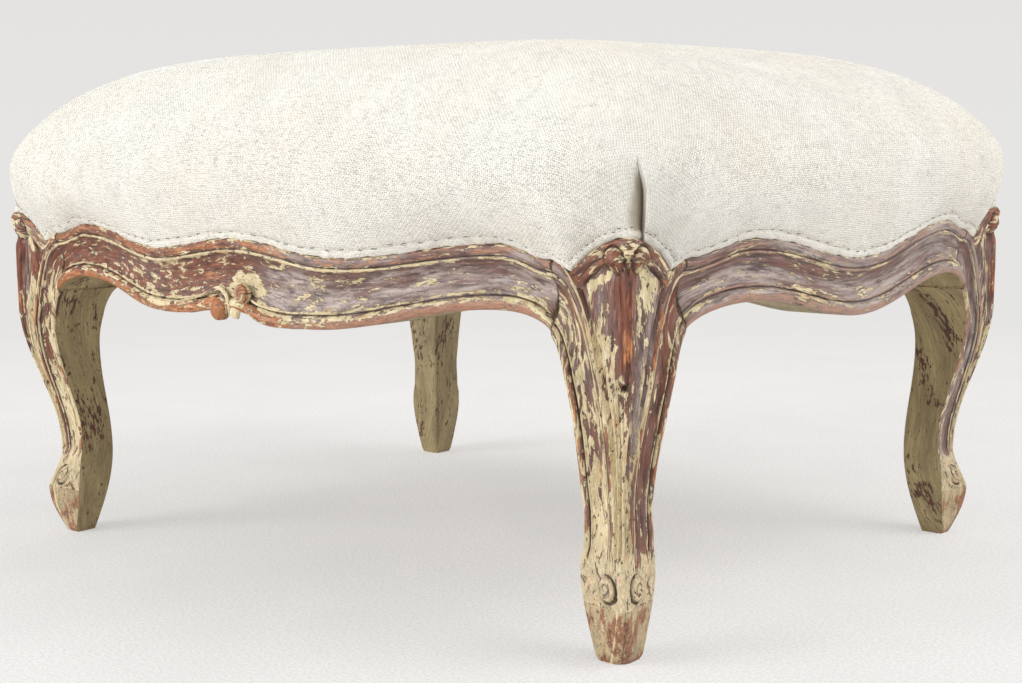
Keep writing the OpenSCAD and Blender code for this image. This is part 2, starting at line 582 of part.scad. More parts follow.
// A closed skin over a list of levels and a top point
function skin_points(levels, top) = concat(flat(levels), [[0, 0, top]]);
function skin_faces(n, count, first) = concat(
    flat([for (k = [0:count - 2], i = [0:n - 1]) let (a = first + k * n, d = (i + 1) % n) quad(a + i, a + d, a + n + d, a + n + i)]),
    [for (i = [0:n - 1]) [first + (count - 1) * n + i, first + (count - 1) * n + (i + 1) % n, first + count * n]]);
module linen_cover() {
    hem_o = round_trip(hem_quarter(hem_out - cover_t));
    hem_i = round_trip(hem_quarter(hem_out));
    wide_o = round_trip(wide_quarter(0));
    wide_i = round_trip(wide_quarter(cover_t));
    n = len(hem_o);
    outer = concat([for (t = [0, 0.3, 0.65, 1]) level(hem_o, wide_o, t, hem_lift)],
        [for (r = [0.99, 0.955, 0.88, 0.76, 0.58, 0.3]) cap(wide_o, r, 0)]);
    inner = concat([for (t = [0, 1]) level(hem_i, wide_i, t, hem_lift)],
        [for (r = inner_rs) cap(wide_i, r, cover_t)]);
    rim = len(outer) * n + 1;
    color(linen) polyhedron(
        points = concat(skin_points(outer, crown_z), skin_points(inner, crown_z - cover_t)),
        faces = concat(skin_faces(n, len(outer), 0), back(skin_faces(n, len(inner), rim)),
            flat([for (i = [0:n - 1]) let (d = (i + 1) % n) quad(i, rim + i, rim + d, d)])), convexity = 6);
}

// The two stuffings: the firm one with a rolled edge, and the soft crown over it
cloth_z = rail_top + strap_t + 2 * weave - strap_t / 2 + 0.1;
stuff_z = cloth_z + cloth_t + soft_gap;
first_top = wide_z + first_rise;
function plan_set(d) = [for (p = round_trip(hem_quarter(d))) [p[0], p[1]]];
module pad(levels, top, bottom) {
    n = len(levels[0]);
    base = len(levels) * n + 1;
    polyhedron(points = concat(skin_points(levels, top), [[0, 0, bottom]]),
        faces = concat(skin_faces(n, len(levels), 0), [for (i = [0:n - 1]) [i, base, (i + 1) % n]]), convexity = 4);
}
// Set-back of the stuffings from the cover, and the dip in the middle of the firm one
fill_set = 3 * cover_t + soft_gap;
dish = first_rise / 2;
edge_r = 0.95;
module first_stuffing() {
    foot = plan_set(hem_out + 6);
    wide = round_trip(wide_quarter(fill_set));
    function at(list, k, z) = [for (p = list) [p[0] * k, p[1] * k, z]];
    function between(t, z) = [for (i = [0:len(foot) - 1]) [mix(foot[i][0], wide[i][0], t), mix(foot[i][1], wide[i][1], t), z]];
    color(hair) pad([at(foot, 1, stuff_z), between(0.6, mix(stuff_z, wide_z, 0.45)), between(1, wide_z - first_rise * 0.3),
         at(wide, 0.99, wide_z + first_rise * 0.55), at(wide, edge_r, first_top)], first_top - dish, stuff_z);
}
module top_stuffing() {
    wide = round_trip(wide_quarter(fill_set));
    low = first_top + soft_gap;
    under = cover_t + soft_gap;
    function at(k, z) = [for (p = wide) [p[0] * k, p[1] * k, z]];
    color(wadding) pad([at(edge_r, low), for (r = inner_rs) if (crown(r, under) > low + 2) at(r, crown(r, under) - 0.3)],
        crown_z - under, low - dish);
}

module base_cloth() {
    color(jute) translate([0, 0, cloth_z]) linear_extrude(cloth_t) polygon(plan_set(hem_out + 6));
}

leg(-1, -1);  // leg_front_left
leg(1, -1);  // leg_front_right
leg(-1, 1);  // leg_back_left
leg(1, 1);  // leg_back_right
rail_front();
rail_back();
rail_left();
rail_right();
pegs(-1, -1);  // pegs_front_left
pegs(1, -1);  // pegs_front_right
pegs(-1, 1);  // pegs_back_left
pegs(1, 1);  // pegs_back_right
strap_long(1);  // strap_long_1
strap_long(2);  // strap_long_2
strap_long(3);  // strap_long_3
strap_cross(1);  // strap_cross_1
strap_cross(2);  // strap_cross_2
strap_cross(3);  // strap_cross_3
strap_cross(4);  // strap_cross_4
base_cloth();
first_stuffing();
top_stuffing();
linen_cover();
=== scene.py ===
# Looks of a rococo footstool: carved legs and rails in worn paint, and a domed seat in plain linen.
import math
import bpy
import numpy as np
from mathutils import Matrix, Vector


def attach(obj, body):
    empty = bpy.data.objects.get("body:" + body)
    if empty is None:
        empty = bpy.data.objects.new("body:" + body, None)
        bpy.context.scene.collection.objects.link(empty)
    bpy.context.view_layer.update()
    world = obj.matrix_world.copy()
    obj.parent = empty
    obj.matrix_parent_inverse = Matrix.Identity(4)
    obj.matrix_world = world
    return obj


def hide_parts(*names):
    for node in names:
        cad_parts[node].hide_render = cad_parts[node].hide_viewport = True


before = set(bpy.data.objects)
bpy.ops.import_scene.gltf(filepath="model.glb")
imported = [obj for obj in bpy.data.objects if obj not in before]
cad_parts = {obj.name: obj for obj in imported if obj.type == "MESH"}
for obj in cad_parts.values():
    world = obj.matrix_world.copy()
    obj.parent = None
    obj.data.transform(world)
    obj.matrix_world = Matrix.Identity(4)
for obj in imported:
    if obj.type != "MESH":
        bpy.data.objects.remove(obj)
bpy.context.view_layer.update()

# Carved legs: four posts of beech, each cut from one block as far as the knee, with the moulding of the
# rails turned down their two outer faces. A fan lies between the bands, under a crest with two lobes,
# and each band ends above the plain foot in a scroll. Sizes are in millimetres.
LEG_X = 233.0
LEG_Y = 183.0
JOINT_Z = 169.0
FACE_Z = 208.0
RAIL_TOP = 218.0
CREST_Z = 221.0
CREST_FALL = 19.0
CREST_RUN = 38.0
REBATE_IN = 6.9
# Heights of the toe, ankle, calf and turn, and how far the leg stands out and in from its axis there
TOE_Z = 30.0
ANKLE_Z = 58.0
CALF_Z = 128.0
TURN_Z = 149.5
SWELL_Z = 160.0
FOOT_OUT = 8.0
TOE_OUT = 16.5
ANKLE_OUT = 8.3
KNEE_OUT = 26.6
FOOT_IN = 7.5
ANKLE_IN = 17.5
CALF_IN = 13.0
BLOCK_IN = 22.0
FOOT_TOP = 30.5
# The fan between the bands, its flutes, and the round of the corner beside it
FAN_LOW = 84.5
FAN_TOP = 196.0
FAN_W = 30.5
RIDGE_W = 4.2
FAN_RISE = 15.0
FLUTE = 3.2
KNEE_ROUND = 3.2
# The two lobes under the crest's tip, the cleft between them and the pit of an old nail
LOBE_AT = (17.4, 210.0)
LOBE_R = (5.3, 6.4)
CLEFT_AT = (26.6, 204.5)
NAIL_AT = (22.6, 147.6)
NAIL_R = (4.2, 2.1)
NAIL_DEEP = 3.6
INNER_ROUND = 2.0
# How finely the sheets are divided
BAND_COLS = 72
FAN_COLS = 54
TURN_ROWS = 84
NOTCH_ROWS = 60
FAN_ROWS = 46
CREST_ROWS = 44
LEVELS = np.concatenate([np.linspace(0, 26, 20, endpoint=False), np.linspace(26, 62, 72, endpoint=False),
                         np.linspace(62, TURN_Z, 100)])

# Section of the moulding: millimetres from its upper edge, and depth behind the face. From the top, a
# bead, a small cove, a sharp fillet, the broad hollow, a second fillet, a quirk and the lower bead.
MOULDING_H = 39.0
MOULDING = [[0, 1.3], [0.5, 0.7], [1.2, 0.25], [2.2, 0.03], [3.2, 0.0], [4.2, 0.25], [5.0, 0.8], [5.6, 1.6],
            [5.9, 1.8], [6.3, 1.4], [6.8, 1.0], [7.3, 1.0], [7.8, 1.5], [8.3, 2.4], [9.3, 3.1], [11.2, 4.1],
            [13.5, 5.2], [17, 6.0], [20, 6.1], [24, 5.4], [27, 4.4], [29.0, 3.4], [29.6, 2.6], [30.4, 2.4],
            [30.9, 2.9], [31.3, 3.2], [31.7, 2.6], [32.3, 1.3], [33.3, 0.4], [35, 0.0], [36.3, 0.15],
            [37.6, 0.6], [38.5, 1.2], [39, 2.0]]
# The hollow lies between these two, and takes up what a taller rail adds
HOLLOW = (12.0, 11.0)
# Section of the fan: the share of its width from the middle rib, and the share of the flutes' depth
FAN = [[0, 0.0], [0.1, 0.04], [0.18, 0.2], [0.26, 0.7], [0.36, 1.0], [0.55, 0.85], [0.75, 0.35], [0.86, 0.1],
       [0.93, 0.35], [1, 0.6]]
# Section of the crest: the share of its height, and how far it stands out
CREST = [[0, -1.4], [0.07, -1.9], [0.15, -1.4], [0.2, 0.2], [0.32, 0.5], [0.42, 0.1], [0.47, 0.2],
         [0.56, 1.1], [0.72, 1.5], [0.88, 1.0], [0.96, 0.2], [1, -0.6]]
# The end of each band above the foot, as [mm from the corner, height]: the lip that runs in from the inner
# edge and passes under the coil, and the line of the coil itself
LIP = [[27, 44], [24.5, 38.5], [21, 35], [16.5, 33], [12, 32.6], [8.8, 34.4], [7.0, 37.6]]
COIL = [[10.2, 45.6], [14.0, 45.4], [16.4, 42.2], [15.8, 38.4], [12.6, 36.4], [10.0, 38.2], [9.8, 41.4],
        [12.0, 42.8], [13.6, 41.0], [12.6, 39.6]]
COIL_AT = (12.4, 40.2)
COIL_R = (5.4, 6.2)
UNDER_LIP = [[7, 37.6], [8.8, 34.4], [12, 32.6], [16.5, 33], [21, 35], [24.5, 38.5], [27, 44], [34, 52]]
# The crescent cut in beside the coil: the way round it, and how wide and deep it is there
CRESCENT = [[-3.1, 0], [-2.5, 0.4], [-1.6, 0.9], [-0.6, 1], [0.4, 0.85], [1.2, 0.4], [1.9, 0]]
# The inner edges of the foot, by height, and the round of the leg's corner
FOOT_EDGE = [[0, 7.4], [3, 9.1], [14, 9.4], [24, 9.8], [34, 10.6], [42, 10.9], [50, 10.3], [60, 9.3],
             [70, 9.2]]
CORNER_ROUND = [[0, 7.2], [26, 7.4], [36, 5.0], [50, 3.0], [150, 3.4], [200, 3.0]]


def ease(t):
    return 0.5 - 0.5 * np.cos(math.pi * np.clip(t, 0, 1))


def mix(a, b, t):
    return a + (b - a) * t


def through(keys, x):
    """Smooth run through a list of [place, value] pairs."""
    x = np.asarray(x, float)
    out = np.full(x.shape, float(keys[0][1]))
    for (x0, y0), (x1, y1) in zip(keys, keys[1:]):
        out = np.where(x >= x0, mix(y0, y1, ease((x - x0) / (x1 - x0))), out)
    return out


def straight(keys, x):
    """Straight lines through a list of [place, value] pairs."""
    return np.interp(x, [key[0] for key in keys], [key[1] for key in keys])


def near(x, centre, width):
    """A round bump of height 1 at a place."""
    return np.exp(-((x - centre) / width) ** 2)


def corner_out(z):
    """How far the carved faces stand out from the leg's axis at a height."""
    foot = mix(FOOT_OUT, TOE_OUT, np.sin(math.pi / 2 * np.clip(z / TOE_Z, 0, 1)))
    rise = np.clip((z - TOE_Z) / (ANKLE_Z - TOE_Z), 0, 1)
    ankle = mix(TOE_OUT, ANKLE_OUT, mix(np.sin(math.pi / 2 * rise), ease(rise), 0.45))
    knee = mix(ANKLE_OUT, KNEE_OUT, ease((z - ANKLE_Z) / (SWELL_Z - ANKLE_Z)))
    return np.where(z < TOE_Z, foot, np.where(z < ANKLE_Z, ankle, knee))


def corner_in(z):
    """How far the plain inner faces stand in from the axis."""
    foot = mix(FOOT_IN, ANKLE_IN, np.sin(math.pi / 2 * np.clip(z / ANKLE_Z, 0, 1)))
    calf = mix(ANKLE_IN, CALF_IN, ease((z - ANKLE_Z) / (CALF_Z - ANKLE_Z)))
    block = mix(CALF_IN, BLOCK_IN, np.clip((z - CALF_Z) / (JOINT_Z - CALF_Z), 0, 1) ** 2.1)
    return np.where(z < ANKLE_Z, foot, np.where(z < CALF_Z, calf, block))


def corner_radius(z):
    return through(CORNER_ROUND, z)


def splay(z):
    """The toe is a point: the faces fall back from it to inner edges that swell only a little."""
    return (corner_out(z) - straight(FOOT_EDGE, z)) * ease((92 - z) / 26)


def fan_at(z):
    """How far the fan reaches from the corner at a height."""
    rise = np.clip((z - FAN_LOW) / (FAN_TOP - FAN_LOW), 0, 1)
    return RIDGE_W + (FAN_W - RIDGE_W) * rise ** 1.7 + 3.6 * ease((46 - z) / 18)


def relief(z):
    """How deep the carving is: none on the foot, full at the joint."""
    low = 0.5 * ease((z - 52) / 8)
    return np.where(z < ANKLE_Z + 6, low, mix(0.5, 0.85, ease((z - 64) / (TURN_Z - 64))))


def stretched(q, height):
    """Millimetres down the moulding's own section, for a share of a rail's height."""
    w = q * height
    above, below = HOLLOW
    middle = above + (w - above) * (MOULDING_H - above - below) / (height - above - below)
    return np.where(w > height - below, w - height + MOULDING_H, np.where(w > above, middle, w))


def moulding(q, height=MOULDING_H):
    return straight(MOULDING, stretched(q, height))


def joint_wave(z):
    """The joints of leg and rail have opened along a line that isn't quite straight."""
    return 0.6 * np.sin(z * 0.23) + 0.3 * np.sin(z * 0.57 + 1)


def crest_line(u):
    """Height of the crest's upper edge, which the hem follows."""
    return CREST_Z - CREST_FALL * ((KNEE_OUT - u) / CREST_RUN) ** 2


def swap_faces(points):
    """The same points on the leg's other face."""
    return points[..., [1, 0, 2]]


def band_points():
    """One moulded band: up the leg's face, then round the turn onto the rail's line."""
    z = LEVELS[:, None]
    q = np.linspace(0, 1, BAND_COLS)[None, :]
    k = relief(z)
    out = corner_out(z)
    width = out + corner_in(z)
    t = mix(fan_at(z) + 3.6 * k + 0.4, width, q)
    fall = splay(z) / width * (t - 0.293 * corner_radius(z))
    v = out - moulding(q) * k - fall + foot_scroll(t, z)
    low = np.stack([out - t, v, np.broadcast_to(z, t.shape)], -1)
    j = (np.arange(1, TURN_ROWS + 1) / TURN_ROWS)[:, None]
    u = (1 - j) ** 2 * low[-1, :, 0] + 2 * j * (1 - j) * mix(-4.0, -16.5, q) + j ** 2 * -BLOCK_IN
    pull = mix(FACE_Z - 2, TURN_Z + MOULDING_H / 4, q)
    up = (1 - j) ** 2 * TURN_Z + 2 * j * (1 - j) * pull + j ** 2 * (FACE_Z - MOULDING_H * q)
    u = u - joint_wave(up) * ease((j - 0.8) / 0.2)
    face = mix(float(corner_out(TURN_Z)), KNEE_OUT, np.clip(3 * j, 0, 1))
    v = face - moulding(q) * mix(float(relief(TURN_Z)), 1, j)
    return np.concatenate([low, np.stack([u, v, up], -1)])


def spline(points, count):
    """A smooth path through points, resampled evenly."""
    p = np.asarray(points, float)
    p = np.concatenate([[2 * p[0] - p[1]], p, [2 * p[-1] - p[-2]]])
    t = np.linspace(0, 1, 16, endpoint=False)[:, None]
    out = []
    for before, start, end, after in zip(p, p[1:], p[2:], p[3:]):
        bend = 2 * before - 5 * start + 4 * end - after
        turn = 3 * start - before - 3 * end + after
        out.append(0.5 * (2 * start + (end - before) * t + bend * t ** 2 + turn * t ** 3))
    out = np.concatenate(out + [p[-2:-1]])
    s = np.concatenate([[0], np.cumsum(np.linalg.norm(np.diff(out, axis=0), axis=1))])
    want = np.linspace(0, s[-1], count)
    return np.stack([np.interp(want, s, out[:, i]) for i in range(3)], -1)


def line_gap(t, z, line):
    """Distance of each point from a drawn line."""
    path = spline([[a, 0, b] for a, b in line], 90)[:, [0, 2]]
    return np.sqrt((t[..., None] - path[:, 0]) ** 2 + (z[..., None] - path[:, 1]) ** 2).min(-1)


def scroll_parts(t, z):
    """The coil's own round, the crescent cut in beside it, the line of the coil, the lip, and what lies
    below the lip."""
    shape = np.broadcast(t, z).shape
    t = np.broadcast_to(t, shape)
    z = np.broadcast_to(z, shape)
    parts = [np.zeros(shape) for _ in range(5)]
    rows = (z[:, 0] > 12) & (z[:, 0] < 56)
    t = t[rows]
    z = z[rows]
    x = (t - COIL_AT[0]) / COIL_R[0]
    y = (z - COIL_AT[1]) / COIL_R[1]
    far = np.hypot(x, y)
    beside = straight(CRESCENT, np.arctan2(y, -x))
    under = straight(UNDER_LIP, t)
    parts[0][rows] = np.sqrt(np.clip(1 - far ** 2, 0, 1))
    parts[1][rows] = near(far, 1.12, 0.08 + 0.09 * beside) * beside
    parts[2][rows] = near(line_gap(t, z, COIL), 0, 0.65)
    parts[3][rows] = near(line_gap(t, z, LIP), 0, 1.0)
    parts[4][rows] = ease((under - z) / 1.8) * ease((z - 12) / 16) * ease((t - 5) / 1.5) * ease((27 - t) / 8)
    return parts


def foot_scroll(t, z):
    """How far the scroll at a band's end stands out, or is cut in."""
    coil, crescent, line, lip, below = scroll_parts(t, z)
    return 2.3 * coil - 2.0 * crescent - 0.8 * line + 0.7 * lip - 1.1 * below


def scroll_dirt_and_shade(t, z):
    """How much darker its cuts are painted: dirt with painted shade in the crescent and along the coil."""
    crescent, line = scroll_parts(t, z)[1:3]
    return np.clip(1.2 * crescent + 0.45 * line, 0, 1.2)


def round_corner(out, s, radius):
    """Goes s millimetres along the face from the rounded corner. Gives the point and which way it faces."""
    bend = radius * math.pi / 4
    a = np.clip(1 - s / bend, 0, 1) * math.pi / 4
    past = np.maximum(s - bend, 0)
    u = out - radius + radius * np.sin(a) - past
    v = out - radius + radius * np.cos(a)
    return u, v, np.sin(a), np.cos(a)


def boss_reach(u, z):
    """0 in the middle of a lobe, 1 at its rim."""
    return np.hypot((u - LOBE_AT[0]) / LOBE_R[0], (z - LOBE_AT[1]) / LOBE_R[1])


def knee_boss(u, z):
    """The two lobes under the crest's tip, the cleft and the ridge between them, and the hole below."""
    far = boss_reach(u, z)
    lobe = 4.2 * np.sqrt(np.clip(1 - far ** 2, 0, 1)) - near(far, 1.12, 0.1)
    ridge = 1.6 * near(u, CLEFT_AT[0], 2.2) * near(z, 214.5, 4.6)
    hole = 3.4 * near(u, CLEFT_AT[0], 3.2) * near(z, CLEFT_AT[1], 3.4)
    return lobe + ridge - hole


def nail_pit(u, z):
    """1 in the middle of the old nail's pit, 0 outside."""
    x = u - NAIL_AT[0]
    far = (x / NAIL_R[0]) ** 2 + ((z - NAIL_AT[1] - 0.3 * x) / NAIL_R[1]) ** 2
    return np.exp(-far ** 2)


def fan_half(band, nail):
    """Half of the fan, from the corner to the groove beside the band, up to the groove under the crest."""
    z = LEVELS[:, None]
    p = np.linspace(0, 1, FAN_COLS)[None, :]
    out = corner_out(z)
    far = fan_at(z)
    radius = np.minimum(corner_radius(z), far * 0.93)
    u, v, nu, nv = round_corner(out, p * (far - radius + radius * math.pi / 4), radius)
    push = foot_scroll(out - u, z) - through(FAN, p) * FLUTE * relief(z)
    fall = splay(z) / (out + corner_in(z)) * (out - u - 0.293 * radius)
    low = np.stack([u + nu * push, v + nv * push - fall, np.broadcast_to(z, u.shape)], -1)
    turn = float(corner_out(TURN_Z))
    edge = band[-TURN_ROWS:][:FAN_ROWS, 0]
    t = (np.arange(1, FAN_ROWS + 1) / FAN_ROWS)[:, None]
    depth = mix(float(relief(TURN_Z)), 1, t)
    out = mix(turn, KNEE_OUT, np.clip(3 * t * FAN_ROWS / TURN_ROWS, 0, 1))
    edge_u = mix(turn - float(fan_at(TURN_Z)), edge[:, :1] + RIDGE_W, t)
    u, v, nu, nv = round_corner(out, p * (out - edge_u - KNEE_ROUND + KNEE_ROUND * math.pi / 4), KNEE_ROUND)
    up = mix(TURN_Z, edge[:, 2:] - 1, t ** 0.9) + FAN_RISE * t ** 1.3 * (1 - p ** 2.4)
    push = knee_boss(u, up) - through(FAN, p) * FLUTE * depth
    high = np.stack([u + nu * push, v + nv * push, up], -1)
    half = np.concatenate([low, high])
    if nail:
        half[..., 1] -= NAIL_DEEP * nail_pit(half[..., 0], half[..., 2])
    # Two more columns run down into the groove beside the band
    border = np.concatenate([band[:-TURN_ROWS, 0], edge])
    groove = mix(half[:, -1], border, 0.6)
    groove[:, 1] -= 2.2 * np.concatenate([relief(LEVELS), depth[:, 0]])
    return np.concatenate([half, groove[:, None], border[:, None]], 1)


def crest_points(fan, band):
    """The crest over the fan: a groove, a flat band and a bead that follows the hem."""
    base = fan[-1]
    r = np.linspace(0, 1, CREST_ROWS)[:, None]
    share = np.linspace(0, 1, len(base))[None, :]
    side = band[-TURN_ROWS:][FAN_ROWS - 1:NOTCH_ROWS, 0]
    pick = np.linspace(0, len(side) - 1, CREST_ROWS)
    side = np.stack([np.interp(pick, np.arange(len(side)), side[:, i]) for i in range(3)], -1)
    flat = KNEE_OUT - KNEE_ROUND + KNEE_ROUND * math.pi / 4
    low_s = np.concatenate([np.linspace(0, 1, FAN_COLS), [1, 1]]) * (flat - side[0, 0] - RIDGE_W)
    low_s[-2] = low_s[-3] + 2.2
    low_s[-1] = flat - side[0, 0]
    top_s = share[0] * (flat - side[-1, 0])
    u, v, nu, nv = round_corner(KNEE_OUT, mix(low_s[None, :], top_s[None, :], r), KNEE_ROUND)
    top = crest_line(round_corner(KNEE_OUT, top_s, KNEE_ROUND)[0])
    top = mix(top, side[-1, 2], np.clip(share[0] * 8 - 7, 0, 1))
    z = mix(base[None, :, 2], top[None, :], r)
    proud = straight(CREST, r) * np.clip((1 - share) * 9, 0.15, 1)
    push = proud * np.clip(boss_reach(u, z) * 1.6 - 0.9, 0, 1) + knee_boss(u, z)
    points = np.stack([u + nu * push, v + nv * push, z], -1)
    drift = side[:, None] - points[:, -1:]
    points = points + drift * (share ** 10)[..., None]
    # The first row is the fan's own last one
    sink = (1 - np.clip(r * 9, 0, 1))[..., None]
    return points + (base[None] - points) * sink


def join_halves(front, side):
    """The front half of a sheet, and the side half turned round the corner."""
    return np.concatenate([swap_faces(side[:, :0:-1]), front], 1)


def new_store():
    return {"points": [], "faces": [], "uv": [], "tone": [], "slot": [], "count": 0}


def spacing(points, axis):
    """Length of the way along a sheet's rows or columns, up to each point."""
    step = np.linalg.norm(np.diff(points, axis=axis), axis=2)
    total = np.cumsum(step, axis=axis)
    return np.concatenate([np.zeros_like(np.take(total, [0], axis=axis)), total], axis=axis)


def normals(points):
    n = np.cross(np.gradient(points, axis=0), np.gradient(points, axis=1))
    return n / np.maximum(np.linalg.norm(n, axis=2, keepdims=True), 1e-9)


def convexity(points, outward):
    """How sharply a sheet bulges (above 0) or sinks (below 0) at each point, in 1/mm."""
    n = normals(points) * outward
    total = np.zeros(points.shape[:2])
    for axis in (0, 1):
        p = points if axis == 0 else points.transpose(1, 0, 2)
        m = n if axis == 0 else n.transpose(1, 0, 2)
        bend = np.zeros(p.shape[:2])
        for step in (1, 2):
            if p.shape[0] <= 2 * step:
                continue
            a = p[:-2 * step] - p[step:-step]
            b = p[2 * step:] - p[step:-step]
            la = np.linalg.norm(a, axis=2)
            lb = np.linalg.norm(b, axis=2)
            turn = a / np.maximum(la, 0.05)[..., None] + b / np.maximum(lb, 0.05)[..., None]
            bend[step:-step] -= 0.5 * np.sum(turn * m[step:-step], 2) / np.maximum(0.5 * (la + lb), 0.25)
        total += bend if axis == 0 else bend.T
    return np.clip(total, -1.2, 1.2)


def blur(values, times, axes=(0, 1)):
    """Evens out values with their neighbours along the axes."""
    for _ in range(times):
        for axis in axes:
            padded = np.concatenate([np.take(values, [0], axis), values, np.take(values, [-1], axis)], axis)
            last = padded.shape[axis]
            low, middle, high = (np.take(padded, range(i, last - 2 + i), axis) for i in range(3))
            values = 0.25 * low + 0.5 * middle + 0.25 * high
    return values


def add_sheet(store, points, inside, slot=0, tone=(0.5, 0.3, 0.5), offset=0.0, uv=None, dirt_and_shade=0.0, edges=1.0):
    """Adds a sheet of quads. inside is a point behind it. The tone says how far the paint is cream, rubbed
    bare and grey in its primer, and edges how much more it has worn on sharp edges. The last tone holds
    dirt together with painted shade, and edges also scale the painted shade added in hollows."""
    rows, cols = points.shape[:2]
    middle = points.reshape(-1, 3).mean(0)
    n = normals(points).reshape(-1, 3).mean(0)
    outward = 1.0 if np.dot(n, middle - np.asarray(inside)) > 0 else -1.0
    index = np.arange(rows * cols).reshape(rows, cols) + store["count"]
    quads = np.stack([index[:-1, :-1], index[1:, :-1], index[1:, 1:], index[:-1, 1:]], -1).reshape(-1, 4)
    if outward < 0:
        quads = quads[:, ::-1]
    bend = blur(convexity(points, outward), 1)
    ridge = np.clip(bend * 1.5, 0, 1) * edges
    hollow = np.clip(-bend * 1.5, 0, 1) * edges
    cream, bare, grey = tone
    # Hollows are darker in the last tone: painted shade, added to the dirt the sheet is given
    parts = (cream, bare + 0.2 * ridge - 0.3 * hollow, grey, hollow * 0.6 + dirt_and_shade)
    shades = np.stack([np.broadcast_to(np.clip(part, 0, 1), (rows, cols)) for part in parts], -1)
    if uv is None:
        uv = np.stack([spacing(points, 1), spacing(points, 0)], -1)
    store["points"].append(points.reshape(-1, 3))
    store["faces"].append(quads)
    store["uv"].append((uv + np.array([offset * 0.37, offset])).reshape(-1, 2))
    store["tone"].append(shades.reshape(-1, 4))
    store["slot"].append(np.broadcast_to(np.reshape(slot, (-1, 1)), (rows - 1, cols - 1)).ravel())
    store["count"] += rows * cols


def build(store, name, place, sharp=50):
    """Makes the mesh object of a store; place maps points in millimetres to the part's frame."""
    points = place(np.concatenate(store["points"])) * 0.001
    faces = np.concatenate(store["faces"])
    if np.linalg.det(place(np.eye(3)) - place(np.zeros((1, 3)))) < 0:
        faces = faces[:, ::-1]
    mesh = bpy.data.meshes.new(name)
    mesh.from_pydata(points.tolist(), [], faces.tolist())
    layer = mesh.uv_layers.new(name="run")
    layer.data.foreach_set("uv", (np.concatenate(store["uv"])[faces.ravel()] * 0.01).ravel())
    tone = mesh.attributes.new("tone", "FLOAT_COLOR", "POINT")
    tone.data.foreach_set("color", np.concatenate(store["tone"]).ravel())
    mesh.polygons.foreach_set("material_index", np.concatenate(store["slot"]).astype(int))
    mesh.shade_smooth()
    mesh.set_sharp_from_angle(angle=math.radians(sharp))
    mesh.update()
    piece = bpy.data.objects.new(name, mesh)
    bpy.context.collection.objects.link(piece)
    return piece


def waves(points, seed, size, depth):
    """Slight unevenness of hand work, as an offset for each point."""
    rng = np.random.default_rng(seed)
    total = np.zeros(points.shape[:-1])
    for _ in range(6):
        way = rng.normal(size=3)
        way /= np.linalg.norm(way)
        total += np.sin(points @ way / size * rng.uniform(0.6, 1.6) + rng.uniform(0, 7))
    return total * depth / 6


# How the paint has lasted across the moulding: millimetres down, cream left, wood bared, dirt
# The dirt column is partly painted shade: it darkens the cove, the step under the upper fillet and the quirk
WEAR = [[0, 0.6, 0.3, 0.1], [1, 0.3, 0.4, 0.0], [3, 0.14, 0.5, 0.0], [4.6, 0.3, 0.35, 0.05],
        [5.5, 0.4, 0.0, 0.15], [5.9, 0.4, 0.0, 0.25], [6.3, 0.75, 0.0, 0.05], [6.7, 0.95, 0.0, 0.0],
        [7.4, 0.95, 0.0, 0.0], [7.9, 0.6, 0.0, 0.1], [8.5, 0.3, 0.0, 0.28], [10, 0.24, 0.0, 0.12],
        [14, 0.26, 0.15, 0.0], [20, 0.3, 0.2, 0.0], [27, 0.32, 0.1, 0.0], [29, 0.44, 0.0, 0.0],
        [29.6, 0.8, 0.0, 0.0], [30.3, 0.8, 0.0, 0.0], [30.8, 0.45, 0.0, 0.2], [31.4, 0.35, 0.1, 0.25],
        [32.1, 0.6, 0.1, 0.03], [33.2, 0.45, 0.35, 0.0], [35, 0.25, 0.65, 0.0], [37, 0.15, 0.9, 0.0],
        [39, 0.2, 0.9, 0.1]]
# The foot and the fan have their own: height, and cream left or wood bared
FOOT_CREAM = [[0, 0.45], [29.5, 0.4], [32, 0.9], [44, 0.78], [60, 0.8]]
FOOT_BARE = [[0, 0.9], [8, 0.35], [22, 0.6], [31, 0.1], [60, 0]]
FAN_CREAM = [[0, 0.4], [29.5, 0.35], [32, 0.9], [44, 0.8], [90, 0.8], [118, 0.62], [146, 0.36],
             [162, 0.2], [190, 0.12]]
FAN_BARE = [[0, 0.7], [24, 0.75], [31, 0.0], [200, 0]]


def wear(w, which):
    """A column of the wear table, at w millimetres down the moulding."""
    return straight([[row[0], row[which]] for row in WEAR], w)


